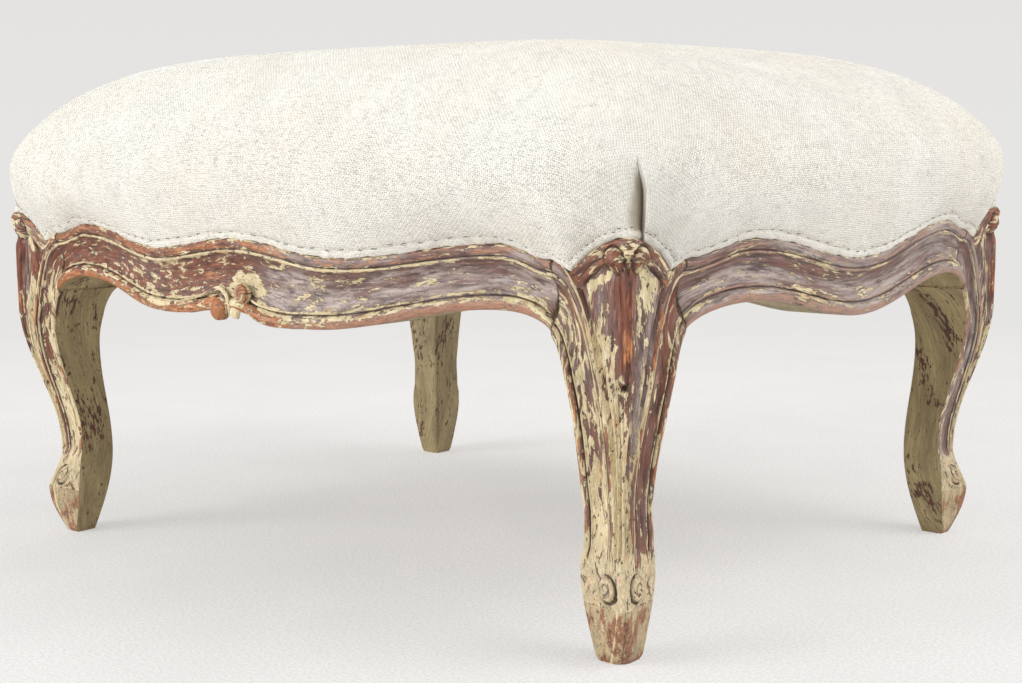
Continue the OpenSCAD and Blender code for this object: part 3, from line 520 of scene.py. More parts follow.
def add_bands(store, centre, band, seed, tints):
    """The bands of both faces. A tint shifts a face's cream, bare wood and grey."""
    w = stretched(np.linspace(0, 1, BAND_COLS), MOULDING_H)[None, :]
    z = band[..., 2]
    plain = ease((60 - z) / 10)
    crack = np.clip(1.3 - np.abs(band[..., 0] + BLOCK_IN + joint_wave(z)) / 0.7, 0, 1)
    crack[:-TURN_ROWS] = 0
    open_part = 0.2 + 0.8 * ease((w - 8) / 2) * ease((30 - w) / 2)
    # Dark lines in the cove, under the upper fillet and in the quirk: dirt with painted shade
    lines = sum(near(w, at, wide) for at, wide in ((5.2, 0.8), (9.0, 1.0), (31.1, 0.9)))
    lines = 0.6 * lines * ease((172 - z) / 30)
    bead = ease((5 - w) / 1.5) + ease((w - 32.5) / 1.5)
    dirt_and_shade = (wear(w, 3) * 0.8 + lines) * (1 - plain) + crack + scroll_dirt_and_shade(corner_out(z) - band[..., 0], z)
    for number, (points, tint) in enumerate(zip((band, swap_faces(band)), tints)):
        more, barer, grey = tint
        kept = wear(w, 1) + (more + 0.2 * ease((130 - z) / 60) * (more > 0)) * open_part
        kept = kept - 0.12 * ease((z - 176) / 20)
        kept = kept + (0.34 + 0.5 * more) * ease((w - 34) / 1.5) + (0.16 + 0.6 * more) * ease((4 - w) / 2)
        cream = mix(kept, through(FOOT_CREAM, z), plain)
        bare = mix(wear(w, 2) * 0.4 + 0.2 * bead + barer, through(FOOT_BARE, z), plain)
        uv = np.stack([spacing(points, 1) * 0.8, spacing(points, 0) * 0.6], -1)
        add_sheet(store, points, centre - np.array([0, 0, 20.0]), np.where(z[:-1, 0] < FOOT_TOP, 2, 0),
                  (cream, bare, grey), seed * 310 + number * 97, uv, dirt_and_shade, ease((z - 34) / 12))


def add_fan(store, centre, whole, seed, front, side, nail):
    """The fan, rubbed to red wood down its rib. Cream is left under the crest and by the right band."""
    z = whole[..., 2]
    share = np.linspace(0, 1, whole.shape[1])[None, :]
    below = spacing(whole, 0)[-1:] - spacing(whole, 0)
    across = np.minimum(whole[..., 0], whole[..., 1])
    far = boss_reach(across, z)
    boss = np.clip(1.25 - far, 0, 1)
    rough = share + 0.03 * np.sin(z / 6.5) + 0.02 * np.sin(z / 2.9 + 1)
    rib = np.exp(-((rough - 0.5) / 0.16) ** 4) * ease((z - 149) / 12)
    rubbed = rib * near(z, 166, 13) * near(rough, 0.52 - 0.0035 * (z - 174), 0.085)
    rubbed = rubbed * mix(1.0, 0.4, side[2] > 0.55)
    arch = near(below, 3.6, 2.8) * np.clip(share * 20 - 1.2, 0, 1) * np.clip(18.8 - share * 20, 0, 1)
    cream = through(FAN_CREAM, z) + mix(side[0], front[0], share) * 0.5
    cream = cream + 0.7 * near(share, 0.95, 0.05) * ease((184 - z) / 14) + 0.75 * arch - 0.22 * rib
    # Where more cream is left: share of the width, its reach, height, its reach, and how much
    for at, wide, up, tall, much in ((0.84, 0.08, 160, 14, 0.3), (0.2, 0.13, 185, 12, 0.44),
                                     (0.09, 0.05, 160, 14, 0.4)):
        cream = cream + much * near(share, at, wide) * near(z, up, tall)
    cream = cream + 0.16 * near(rough, 0.4, 0.05) * near(z, 172, 16)
    bare = 0.05 + 0.2 * rib + 0.6 * rubbed + 0.05 * boss + through(FAN_BARE, z)
    # Darker in grooves, round lobes, in holes and cuts and down the foot's corner: dirt and painted shade
    fan_dirt_and_shade = (0.5 * near(share, 0.06, 0.05) + 0.35 * near(share, 0.95, 0.03)) * ease((z - 104) / 36)
    fan_dirt_and_shade = fan_dirt_and_shade + 0.4 * near(share, 0.5, 0.12) * near(z, 138, 13) + 0.5 * near(far, 1.12, 0.14)
    fan_dirt_and_shade = fan_dirt_and_shade + 1.1 * near(across, CLEFT_AT[0], 3.4) * near(z, CLEFT_AT[1], 4)
    fan_dirt_and_shade = fan_dirt_and_shade + scroll_dirt_and_shade(corner_out(z) - across, z) + 0.55 * near(share, 0.5, 0.035) * ease((34 - z) / 4)
    if nail:
        fan_dirt_and_shade = fan_dirt_and_shade + 3.4 * nail_pit(whole[..., 0], z) ** 2 * (share > 0.5)
        cream = cream + near(whole[..., 0], 22.0, 3.2) * near(z, 144.4, 1.0) * (share > 0.5)
    # The grain of the wear runs straight up, past the lobes and the nail hole
    lateral = spacing(whole, 1)
    lateral = blur(lateral - lateral[:, [FAN_COLS + 1]], 24, (0,))
    grey = mix(0.9, 0.45, share) - 0.8 * rib - 0.5 * boss
    add_sheet(store, whole, centre, np.where(whole[:-1, 0, 2] < FOOT_TOP, 2, 0), (cream, bare, grey),
              seed * 310 + 41, 0.74 * np.stack([lateral, z], -1), fan_dirt_and_shade,
              ease((z - 34) / 12) * ease((0.47 - np.abs(share - 0.5)) / 0.03))


def add_crest(store, centre, crown, seed):
    """The crest, darker round its lobes and in the groove under it: dirt with painted shade."""
    across = np.minimum(crown[..., 0], crown[..., 1])
    far = boss_reach(across, crown[..., 2])
    boss = np.clip(1.25 - far, 0, 1)
    cleft = near(across, CLEFT_AT[0], 4) * near(crown[..., 2], 213, 7)
    groove = near(np.linspace(0, 1, CREST_ROWS)[:, None], 0.07, 0.07)
    tone = (0.42 - 0.08 * boss + 0.4 * cleft, 0.26 - 0.2 * boss, 0.4 - 0.5 * boss)
    uv = 0.74 * np.stack([spacing(crown, 0), spacing(crown, 1)], -1)
    add_sheet(store, crown, centre, 0, tone, seed * 310 + 67, uv, 0.5 * near(far, 1.12, 0.12) + 0.4 * groove)


def add_leg_back(store, centre, band, whole, crest, seed):
    """What the bands and the fan leave open: inner faces, sole, the block's ledge, top and joints."""
    inner = band[:, -1]
    edge = INNER_ROUND - np.concatenate([corner_in(inner[:-TURN_ROWS, 2]), -inner[-TURN_ROWS:, 0]])
    a = np.linspace(0, 1, 14)
    arc = np.linspace(0, math.pi / 2, 6)[1:-1]
    rows = []
    for (u, v, up), corner in zip(inner, edge):
        run = mix(v, corner, a)
        line = [[u, step, up] for step in run]
        line += [[corner - INNER_ROUND * math.cos(t), corner - INNER_ROUND * math.sin(t), up] for t in arc]
        line += [[step, u, up] for step in run[::-1]]
        rows.append(line)
    faces = np.array(rows)
    add_sheet(store, faces, centre, 1, offset=seed * 410)
    rim = np.concatenate([whole[0], band[0], faces[0], swap_faces(band)[0][::-1]])
    sole = np.stack([rim, 0.5 * rim, 0 * rim])
    sole[1:, :, 2] = 0.0
    add_sheet(store, sole, (0, 0, 20.0), 1, offset=seed)
    line = np.concatenate([crest[-1], band[NOTCH_ROWS - TURN_ROWS:, 0]])
    line = np.concatenate([swap_faces(line[::-1]), line])
    wall = line.copy()
    inset = KNEE_OUT - REBATE_IN
    half = len(wall) // 2
    wall[half:, 1] = inset
    wall[half:, 0] = np.minimum(wall[half:, 0], inset)
    wall[:half, 0] = inset
    wall[:half, 1] = np.minimum(wall[:half, 1], inset)
    top = wall.copy()
    top[:, 2] = RAIL_TOP
    cap = top.copy()
    cap[:, :2] = -BLOCK_IN
    add_sheet(store, np.stack([line, wall]), (0, 0, 150.0), 1, offset=seed)
    add_sheet(store, np.stack([wall, top]), centre, 1, offset=seed)
    add_sheet(store, np.stack([top, cap]), centre, 1, offset=seed)
    for points in (band, swap_faces(band)):
        end = points[-1]
        back = end.copy()
        back[:, :2] = np.where(np.abs(end[:, :2] + BLOCK_IN) < 0.01, end[:, :2], -BLOCK_IN)
        add_sheet(store, np.stack([end, back]), (10.0, 10.0, 190.0), 1, offset=seed)


def make_leg(name, sx, sy, seed, front, side, nail):
    """front and side are the tints of the two faces; nail says that this leg holds the old nail's pit."""
    store = new_store()
    centre = np.array([0.0, 0.0, 110.0])
    band = band_points()
    fan = fan_half(band, False)
    crest = crest_points(fan, band)
    whole = join_halves(fan_half(band, nail), fan)
    # Hand work: the bands aren't quite even, except where they meet the foot and the rails
    ends = np.clip((band[..., 2] - 5) / 30, 0, 1) * np.clip(np.arange(len(band))[::-1, None] / 8, 0, 1)
    rims = np.sin(math.pi * np.linspace(0, 1, BAND_COLS))[None, :] ** 0.5
    band[..., 1] += waves(band, seed, 17, 0.35) * ends * rims
    add_bands(store, centre, band, seed, (front, side))
    add_fan(store, centre, whole, seed, front, side, nail)
    add_crest(store, centre, join_halves(crest, crest), seed)
    add_leg_back(store, centre, band, whole, crest, seed)

    def stand(p):
        """Puts the leg in its corner. The front right one stands a little out of true, as cut by hand."""
        lean = 1.4 * ease((110 - p[..., 2:]) / 60) - 0.7 * ease((66 - p[..., 2:]) / 16)
        lean = lean * np.array([1.0, 0.9, 0]) if nail else 0
        return p * np.array([sx, sy, 1.0]) + np.array([sx * LEG_X, sy * LEG_Y, 0]) + lean

    return build(store, name, stand)


def linear(code):
    """An sRGB hex colour as the linear numbers that shaders take."""
    parts = [int(code[i:i + 2], 16) / 255 for i in (1, 3, 5)]
    return tuple(c / 12.92 if c <= 0.04045 else ((c + 0.055) / 1.055) ** 2.4 for c in parts) + (1.0,)


def fill(tree, made, **settings):
    """Sets a node's properties and sockets. A socket goes by its name or, after an i, by its number.
    It takes a number, a hex colour or another node's socket."""
    for key, value in settings.items():
        if hasattr(made, key):
            setattr(made, key, value)
            continue
        socket = made.inputs[int(key[1:]) if key[1:].isdigit() else key.replace("_", " ")]
        if isinstance(value, bpy.types.NodeSocket):
            tree.links.new(value, socket)
        else:
            socket.default_value = linear(value) if isinstance(value, str) else value
    return made


def node(tree, kind, **settings):
    """Adds a shader node with its settings and links."""
    return fill(tree, tree.nodes.new("ShaderNode" + kind), **settings)


def weighed(tree, *terms):
    """Adds up values, each one times its weight."""
    total = 0.0
    for value, weight in terms:
        total = node(tree, "Math", operation="MULTIPLY_ADD", i0=value, i1=weight, i2=total).outputs[0]
    return total


def mask(tree, low, high, *terms):
    """Goes from 0 to 1 as the terms' sum goes from low to high."""
    limits = {"From Min": low, "From Max": high, "clamp": True}
    return node(tree, "MapRange", Value=weighed(tree, *terms), **limits).outputs[0]


def grain(tree, source, across, along, detail, rough, shift, distort=0.0):
    """Noise whose spots measure about across by along millimetres: on the moulding's own run, or upright in
    the part's space."""
    if source.name == "UV":
        scale = (100 / across, 100 / along, 1)
        place = (shift, 2 * shift, shift)
    else:
        scale = (1000 / across, 1000 / across, 1000 / along)
        place = (shift, shift, shift)
    spots = node(tree, "Mapping", Scale=scale, Location=place, Vector=source).outputs[0]
    return node(tree, "TexNoise", Scale=1.0, Detail=detail, Roughness=rough, Distortion=distort,
                Vector=spots).outputs[0]


def lay(tree, where, under, over, strength=1.0):
    """Lays one colour over another where a mask is."""
    if strength != 1.0:
        where = weighed(tree, (where, strength))
    return node(tree, "Mix", data_type="RGBA", i0=where, i6=under, i7=over).outputs[2]


def coats(tree, source, colour, *rows):
    """Lays spots of other colours over a colour. A row holds the spots' size across and along, their detail,
    roughness and shift, where their mask starts and ends, its strength, and the colour."""
    for across, along, detail, rough, shift, low, high, strength, tint in rows:
        spots = grain(tree, source, across, along, detail, rough, shift)
        colour = lay(tree, mask(tree, low, high, (spots, 1)), colour, tint, strength)
    return colour


def new_material(name):
    made = bpy.data.materials.new(name)
    made.use_nodes = True
    tree = made.node_tree
    return made, tree, tree.nodes["Principled BSDF"]


def finish(tree, shader, colour, rough, height, strength, distance):
    """Gives a shader its colour, its roughness and the fine relief of its surface."""
    bump = node(tree, "Bump", Strength=strength, Distance=distance, Height=height).outputs[0]
    fill(tree, shader, Base_Color=colour, Roughness=rough, Normal=bump)


def sheet_inputs(tree):
    """What a sheet's mesh tells its material: the run, the part's space, and cream, bare, grey, and dirt
    with painted shade. On the linen the first is a painted highlight and the third the whiter hem band.
    """
    uv = node(tree, "UVMap", uv_map="run").outputs[0]
    place = node(tree, "TexCoord").outputs["Object"]
    tone = node(tree, "Attribute", attribute_name="tone")
    split = node(tree, "SeparateColor", Color=tone.outputs["Color"])
    return uv, place, list(split.outputs) + [tone.outputs["Alpha"]]


def worn_paint():
    """Old cream oil paint on beech: it flakes off brown and violet-grey primer, with sharp dark rims, and is
    rubbed to oiled red wood on the beads. The primer has a dull shine, the paint is chalky."""
    made, tree, shader = new_material("worn_cream_paint")
    uv, place, (cream, bare, grey, dirt_and_shade) = sheet_inputs(tree)
    # Primer: red-brown to violet-grey, clouded and streaked along the moulding
    cloud = ((grain(tree, uv, 9, 46, 3, 0.6, 3.1), 1), (grey, 0.42))
    hue = mask(tree, 0.56, 0.96, *cloud)
    primer = lay(tree, hue, "#7a4029", "#7d6c68")
    # Where the grey tone runs highest the primer turns pale: partly its own colour, partly a painted sheen
    primer = lay(tree, mask(tree, 0.84, 1.06, *cloud), primer, "#c0b0a8")
    dark = lay(tree, hue, "#3d2219", "#584744")
    light = lay(tree, hue, "#b3775b", "#b9aaa8")
    primer = coats(tree, uv, primer, (2.4, 12, 5, 0.65, 7.7, 0.46, 0.64, 1, dark),
                   (1.3, 9, 5, 0.7, 1.7, 0.54, 0.68, 1, light))
    # Bare wood, rubbed and oiled, in patches
    rub = grain(tree, uv, 3.4, 15, 5, 0.62, 5.3, 0.3)
    wood = coats(tree, uv, "#8a4a28", (1.0, 10, 6, 0.7, 9.1, 0.38, 0.62, 1, "#cd8852"),
                 (2.2, 7, 5, 0.7, 2.9, 0.57, 0.7, 1, "#d6aa88"),
                 (1.6, 6, 5, 0.7, 22.9, 0.53, 0.64, 1, "#4a2c20"))
    wood = lay(tree, mask(tree, 0.5, 1.0, (grey, 1)), wood, "#a58d83", 0.6)
    colour = lay(tree, mask(tree, 0.7, 0.78, (rub, 1), (bare, 0.42)), primer, wood)
    # Cream paint, in flakes that lie along the moulding, with a thin film of it left around them
    flakes = grain(tree, uv, 2.5, 8.6, 3, 0.6, 0.4, 0.5)
    level = weighed(tree, (flakes, 1), (cream, 0.4), (grain(tree, uv, 12, 42, 2, 0.5, 11.9), 0.22),
                    (grain(tree, uv, 0.9, 2.2, 3, 0.6, 17.3), 0.14))
    painted = mask(tree, 0.884, 0.893, (level, 1))
    colour = lay(tree, mask(tree, 0.77, 0.88, (level, 1)), colour, "#a5866a", 0.2)
    rim = weighed(tree, (mask(tree, 0.859, 0.883, (level, 1)), mask(tree, 1.0, 0.0, (painted, 1))))
    colour = lay(tree, rim, colour, "#31211c", 0.8)
    paint = coats(tree, uv, "#e0cfa6", (7, 22, 4, 0.55, 4.2, 0.38, 0.64, 1, "#c2b087"),
                  (1.0, 4, 6, 0.72, 8.8, 0.5, 0.68, 1, "#f0e6cb"),
                  (3.0, 16, 5, 0.7, 6.1, 0.56, 0.7, 1, "#c4935f"),
                  (1.2, 8, 5, 0.7, 26.1, 0.54, 0.7, 1, "#9c8a63"))
    # Just above the foot the paint is thin and stained, beige with some pink and grey in it
    height = node(tree, "SeparateXYZ", Vector=place).outputs[2]
    low = mask(tree, 0.085, 0.062, (height, 1), (grain(tree, uv, 3, 20, 3, 0.6, 41.0), 0.03))
    stain = coats(tree, place, "#cdbb95", (5, 9, 4, 0.6, 1.0, 0.4, 0.62, 1, "#b3a481"),
                  (4, 8, 4, 0.65, 11.0, 0.52, 0.66, 1, "#cfa88c"),
                  (2.2, 5, 4, 0.65, 21.0, 0.56, 0.68, 1, "#968e80"),
                  (1.2, 3, 4, 0.7, 31.0, 0.54, 0.68, 1, "#e6dcc0"))
    paint = lay(tree, low, paint, stain, 0.85)
    paint = coats(tree, uv, paint, (1.3, 3.4, 4, 0.65, 2.2, 0.61, 0.635, 1, "#4a332a"))
    colour = lay(tree, painted, colour, paint)
    # Old dirt and painted shade in the grooves and hollows, and fine mottle over everything
    grime_and_shade = mask(tree, 0.82, 1.32, (dirt_and_shade, 1), (grain(tree, uv, 1.8, 8, 6, 0.68, 6.6), 1))
    colour = lay(tree, grime_and_shade, colour, "#33211a", 0.86)
    colour = coats(tree, uv, colour, (0.8, 2.4, 4, 0.75, 15.2, 0.44, 0.7, 0.26, "#33231d"))
    height = weighed(tree, (painted, 0.22), (grain(tree, uv, 1.0, 6, 6, 0.7, 12.4), 0.3),
                     (grain(tree, uv, 5, 14, 3, 0.5, 1.4), 0.5))
    finish(tree, shader, colour, weighed(tree, (painted, 0.3), (1.0, 0.36)), height, 1.0, 0.0013)
    return made


def foot_paint():
    """The plain foot: thin olive-beige paint, smeared and rubbed through to orange-brown wood. It looks dry
    and blotched, with soft borders."""
    made, tree, shader = new_material("rubbed_foot_paint")
    place, tone = sheet_inputs(tree)[1:]
    cream, bare, dirt_and_shade = tone[0], tone[1], tone[3]
    base = coats(tree, place, "#bcaa84", (6, 14, 4, 0.6, 1.0, 0.4, 0.62, 1, "#988a6b"))
    base = lay(tree, mask(tree, 0.6, 1.0, (cream, 1)), base, "#dccaa1")
    base = coats(tree, place, base, (1.3, 3.2, 5, 0.7, 5.0, 0.5, 0.66, 1, "#c9a888"))
    wood = coats(tree, place, "#7d5540", (2.2, 7, 5, 0.65, 9.0, 0.4, 0.62, 1, "#a97855"),
                 (1.5, 5, 4, 0.65, 12.0, 0.54, 0.66, 1, "#6f4b3b"))
    spots = grain(tree, place, 6.5, 15, 4, 0.6, 3.0)
    colour = lay(tree, mask(tree, 0.51, 0.6, (spots, 1), (bare, 0.3), (cream, -0.22)), base, wood)
    specks = mask(tree, 0.6, 0.63, (grain(tree, place, 1.1, 1.9, 4, 0.65, 7.0), 1))
    colour = lay(tree, specks, colour, "#54402f", 0.75)
    colour = coats(tree, place, colour, (1.3, 2.4, 4, 0.65, 17.0, 0.61, 0.64, 0.6, "#ddd0ae"))
    # Dirt and painted shade in the hollows, the scroll's cuts and down the foot's corner
    grime_and_shade = mask(tree, 0.85, 1.15, (dirt_and_shade, 1), (grain(tree, place, 2, 4, 4, 0.6, 4.0), 1))
    colour = lay(tree, grime_and_shade, colour, "#2b1f19")
    height = weighed(tree, (grain(tree, place, 1.4, 3, 5, 0.7, 2.0), 0.4), (specks, -0.2))
    finish(tree, shader, colour, 0.58, height, 0.9, 0.0011)
    return made


def khaki_paint():
    """Thin khaki paint brushed on the inner faces: flat, streaked upwards, and scuffed to brown flecks."""
    made, tree, shader = new_material("thin_khaki_paint")
    uv = sheet_inputs(tree)[0]
    base = coats(tree, uv, "#a5936b", (14, 50, 4, 0.6, 2.0, 0.38, 0.62, 1, "#857554"),
                 (1.4, 30, 5, 0.65, 5.0, 0.5, 0.8, 1, "#bfb085"),
                 (2.2, 24, 5, 0.65, 9.0, 0.54, 0.8, 1, "#75664a"))
    worn = mask(tree, 0.9, 0.925, (grain(tree, uv, 2.2, 6.5, 4, 0.66, 1.0), 1),
                (grain(tree, uv, 15, 44, 2, 0.5, 7.0), 0.62))
    scuffed = lay(tree, grain(tree, uv, 8, 30, 2, 0.5, 3.0), "#382722", "#6b412d")
    colour = lay(tree, worn, base, scuffed)
    colour = coats(tree, uv, colour, (0.9, 5, 4, 0.65, 13.0, 0.6, 0.64, 0.7, "#574330"))
    height = weighed(tree, (grain(tree, uv, 1.0, 20, 4, 0.6, 4.0), 0.3), (worn, -0.2))
    finish(tree, shader, colour, 0.62, height, 0.8, 0.001)
    return made


paint = worn_paint()
khaki = khaki_paint()
foot = foot_paint()
# Side along X and Y, seed of the hand work, and the tints of both faces: more cream, more bare wood, grey
legs = {
    "leg_front_right": (1, -1, 1, (0.22, 0.04, 0.6), (-0.08, 0.0, 0.45)),
    "leg_front_left": (-1, -1, 2, (0.25, 0.1, 0.3), (0.1, 0.1, 0.3)),
    "leg_back_right": (1, 1, 3, (0.15, 0.1, 0.4), (-0.06, 0.0, 0.9)),
    "leg_back_left": (-1, 1, 4, (0.2, 0.1, 0.4), (0.05, 0.1, 0.5)),
}
for name, (sx, sy, seed, front, side) in legs.items():
    piece = make_leg("carved_" + name, sx, sy, seed, front, side, name == "leg_front_right")
    for material in (paint, khaki, foot):
        piece.data.materials.append(material)
    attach(piece, "root")
    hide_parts(name)

# Serpentine rails: four lengths of beech, bowed in plan and cut to a wave along both edges, with the same
# moulding run along their faces. Their tenons go into the legs, where the joints have opened to dark lines.
BOW_FRONT = 27.0
BOW_SIDE = 14.0
RAIL_T = 36.0
HALF_FRONT = LEG_X - BLOCK_IN
HALF_SIDE = LEG_Y - BLOCK_IN
# Waves of the edges: the share of the half length, and the rise. An arch springs up to each leg.
FRONT_LOW = [[0, 2.4], [0.275, -4], [0.84, 12]]
FRONT_TOP = [[0, 5], [0.365, -3], [0.84, 7], [1, 0]]
SIDE_LOW = [[0, -2], [0.7, 14]]
SIDE_TOP = [[0, -8], [0.7, 8], [1, 0]]
# The lower edge dips on beside the motif: millimetres along, and the drop
MOTIF_DIP = [[-110, 0], [-50, 2.4], [-22, 1.8], [2, 0], [16, -2.0], [32, -2.4], [60, 0]]
JOINT_GAP = 0.25
RAIL_COLS = 420
RAIL_ROWS = 88


def wave_line(s, low, top):
    """Heights of the lower and upper edge at a share of the half length."""
    spring, rise = low[-1]
    arch = rise * (1 - np.clip((s - spring) / (1 - spring), 0, 1) ** 2.2) ** 0.6
    return JOINT_Z + np.where(s >= spring, arch, through(low, s)), FACE_Z + through(top, s)


def front_lines(s):
    """Plan, lower and upper edge of a long rail, at a share of its half length."""
    s = np.abs(s)
    plan = LEG_Y + KNEE_OUT + BOW_FRONT * (1 - ease((s - 0.18) / 0.76))
    return plan, *wave_line(s, FRONT_LOW, FRONT_TOP)


def side_lines(s):
    """The same lines of a short rail."""
    s = np.abs(s)
    plan = LEG_X + KNEE_OUT + BOW_SIDE * (1 - s ** 3)
    return plan, *wave_line(s, SIDE_LOW, SIDE_TOP)


def cream_halo(x, z):
    """Paint that has lasted around the button of the motif."""
    over = near(np.hypot((x - 6.5) / 1.25, z - 180), 10, 4.5) * ease((z - 176) / 8)
    return over + 0.9 * near(x, 0, 5) * near(z, 178, 9)


def add_face(store, length, lines, turn, seed, tint, motif):
    """The moulded face of a rail. Gives back its points and what its edges follow."""
    more, barer, grey, line_left, rise = tint
    violet = grey > 0.7
    run = np.linspace(-1, 1, RAIL_COLS)
    s = (0.35 * np.sin(run * math.pi / 2) + 0.65 * run) * (1 - JOINT_GAP / length)
    plan, low, top = lines(s)
    if motif:
        low = low + through(MOTIF_DIP, -s * length)
    q = np.linspace(0, 1, RAIL_ROWS)[None, :]
    height = (top - low)[:, None]
    depth = moulding(q, height)
    from_end = ((1 - np.abs(s)) * length)[:, None]
    ends = np.clip(from_end / 0.8, 0, 1)
    z = top[:, None] - height * q
    wavy = ease((12 - from_end) / 12) * np.sign(s)[:, None] * joint_wave(z)
    face = np.stack([(s * length)[:, None] + wavy, plan[:, None] - depth - 0.6 * (1 - ends), z], -1)
    face[..., 1] += waves(face, seed, 21, 0.5) * ends * np.clip(from_end / 12, 0, 1)
    x = face[..., 0]
    w = stretched(q, height)
    along = -x if turn == 180 else x
    halo = motif * cream_halo(along, z)
    kept = more + 0.05 * np.sin(x / 31 + seed) + 0.6 * halo
    kept = kept + motif * (0.08 * near(along, -60, 45) - 0.12 * ease((along - 60) / 60))
    crack = np.clip(1.4 - from_end / 0.8, 0, 1)
    # Greyer on the motif's violet-grey right half; more grey low in the hollow is a painted sheen
    grey_and_sheen = grey + motif * (0.75 + 0.5 * near(w, 21, 8)) * ease((along + 20) / 70) + rise * (w - 19) / 8
    grey_and_sheen = grey_and_sheen + violet * (0.55 * ease((7 - w) / 2) - 0.12 * near(w, 11, 4))
    fillet = np.clip(wear(w, 1) * 4 - 2.2, 0, 1) * (1 - line_left)
    strip = motif * (0.5 + 0.9 * ease((along - 30) / 40)) * near(w, 33.6, 2.0)
    strip = strip + 0.8 * motif * ease((along - 165) / 30)
    length_run = spacing(face[:, 40:42], 0)[:, :1] * (0.62 if violet else 1.0)
    uv = np.stack(np.broadcast_arrays(q * MOULDING_H, length_run), -1)
    tone = (wear(w, 1) + kept - 0.55 * fillet + 0.22 * strip, wear(w, 2) + barer + 0.8 * fillet,
            grey_and_sheen + 0.5 * fillet)
    dirt_and_shade = wear(w, 3) * (1 - np.clip(1.6 * halo, 0, 1)) + crack
    add_sheet(store, face, (0, plan.min() - 18, 190.0), 0, tone, seed * 410, uv, dirt_and_shade)
    return face, s * length, plan, low, top


def make_rail(name, length, lines, turn, seed, tint, motif):
    """A rail along X with its face towards +Y, turned about Z to its side of the stool."""
    store = new_store()
    face, x, plan, low, top = add_face(store, length, lines, turn, seed, tint, motif)
    middle = plan.mean()
    lower = face[:, -1]
    back = np.stack([x, plan - RAIL_T, low], -1)
    high = np.stack([x, plan - RAIL_T, np.full(len(x), RAIL_TOP)], -1)
    ridge = np.stack([x, plan - REBATE_IN, np.full(len(x), RAIL_TOP)], -1)
    ledge = np.stack([x, plan - REBATE_IN, top], -1)
    under = np.stack([mix(lower, back, share) for share in (0, 0.04, 0.5, 0.96, 1)], 1)
    add_sheet(store, under, (0, middle - 18, 300.0), 1, offset=seed * 510)
    inner = np.stack([back, mix(back, high, 0.5), high], 1)
    add_sheet(store, inner, (0, middle + 30, 190.0), 1, offset=seed * 610)
    add_sheet(store, np.stack([high, ridge], 1), (0, middle, 100.0), 1, offset=seed)
    add_sheet(store, np.stack([ridge, ledge], 1), (0, middle - 60, 190.0), 1, offset=seed)
    add_sheet(store, np.stack([ledge, face[:, 0]], 1), (0, middle, 100.0), 0, (0.4, 0.3, 0.4), seed)
    for end in (0, -1):
        hidden = face[end].copy()
        hidden[:, 1] = plan[end] - RAIL_T
        add_sheet(store, np.stack([face[end], hidden]), (0, middle, 190.0), 1, offset=seed)
    if motif:
        add_motif(store, lines, seed)
    c, d = {0: (1, 0), 90: (0, 1), 180: (-1, 0), 270: (0, -1)}[turn]
    spin = np.array([[c, d, 0], [-d, c, 0], [0, 0, 1]], float)
    return build(store, name, lambda p: p @ spin)


def tube(path, radii, flatten, across, sides):
    """A tapering carved strand along a path."""
    path = np.asarray(path, float)
    across = np.asarray(across, float)
    tangent = np.gradient(path, axis=0)
    side = np.cross(tangent / np.linalg.norm(tangent, axis=1, keepdims=True), across)
    side /= np.linalg.norm(side, axis=1, keepdims=True)
    a = np.linspace(0, 2 * math.pi, sides)
    ring = side[:, None] * np.cos(a)[None, :, None] + across * np.sin(a)[None, :, None] * flatten
    return path[:, None] + ring * np.asarray(radii, float)[:, None, None]


# The motif's strands, as points [to the right, before the face, height], [share of the length, radius], how
# flat they are, and cream, bare and grey: the bead, the rim over its lobe, the rim's inner line, the tongue,
# the bead that runs on, and its line
STRANDS = (
    ([[-58, -2.6, 169.0], [-42, -1.9, 170.8], [-30, -1.7, 173.2], [-22, -1.8, 175.4], [-15, -2.2, 176.4]],
     60, [[0, 0.8], [0.4, 2.8], [0.8, 3.6], [1, 3.4]], 0.72, (0.25, 0.85, 0.2)),
    ([[-54, -2.6, 174.4], [-36, -2.0, 177.6], [-22, -1.4, 182.0], [-13.4, -0.9, 184.2], [-7.4, -0.6, 181.0],
      [-5.0, -0.8, 175.0], [-6.2, -1.2, 168.6]],
     70, [[0, 0.4], [0.3, 0.8], [0.6, 1.3], [0.85, 1.5], [1, 0.9]], 0.9, (0.75, 0.1, 0.6)),
    ([[-46, -2.6, 173.4], [-30, -2.0, 176.2], [-20, -1.3, 179.4], [-13.4, -0.6, 180.6], [-9.4, -0.5, 177.6],
      [-8.0, -0.9, 172.6], [-8.8, -1.4, 169]],
     60, [[0, 0.3], [0.5, 0.7], [0.85, 0.9], [1, 0.6]], 0.9, (0.55, 0.2, 0.7)),
    ([[1.6, -4.2, 179.5], [0.4, -2.6, 175.4], [-1.6, -2.0, 171.6], [-2.8, -2.4, 167.2]],
     36, [[0, 3.2], [0.5, 4.5], [0.8, 4.5], [1, 3.6]], 0.4, (0.9, 0.25, 0.4)),
    ([[6.6, -1.8, 175.6], [11.4, -0.8, 173.6], [17.5, -0.5, 171.0], [26, -0.9, 168.6], [38, -1.6, 167.4],
      [56, -2.6, 168.4]],
     70, [[0, 2.0], [0.12, 3.0], [0.4, 3.3], [0.7, 2.9], [1, 1.4]], 0.75, (0.4, 0.65, 0.3)),
    ([[12.4, -2.0, 178.6], [19, -2.0, 176.2], [30, -2.2, 174.2], [46, -2.4, 173.4]],
     50, [[0, 0.8], [0.5, 0.6], [1, 0.3]], 0.9, (0.85, 0.0, 0.3)),
)
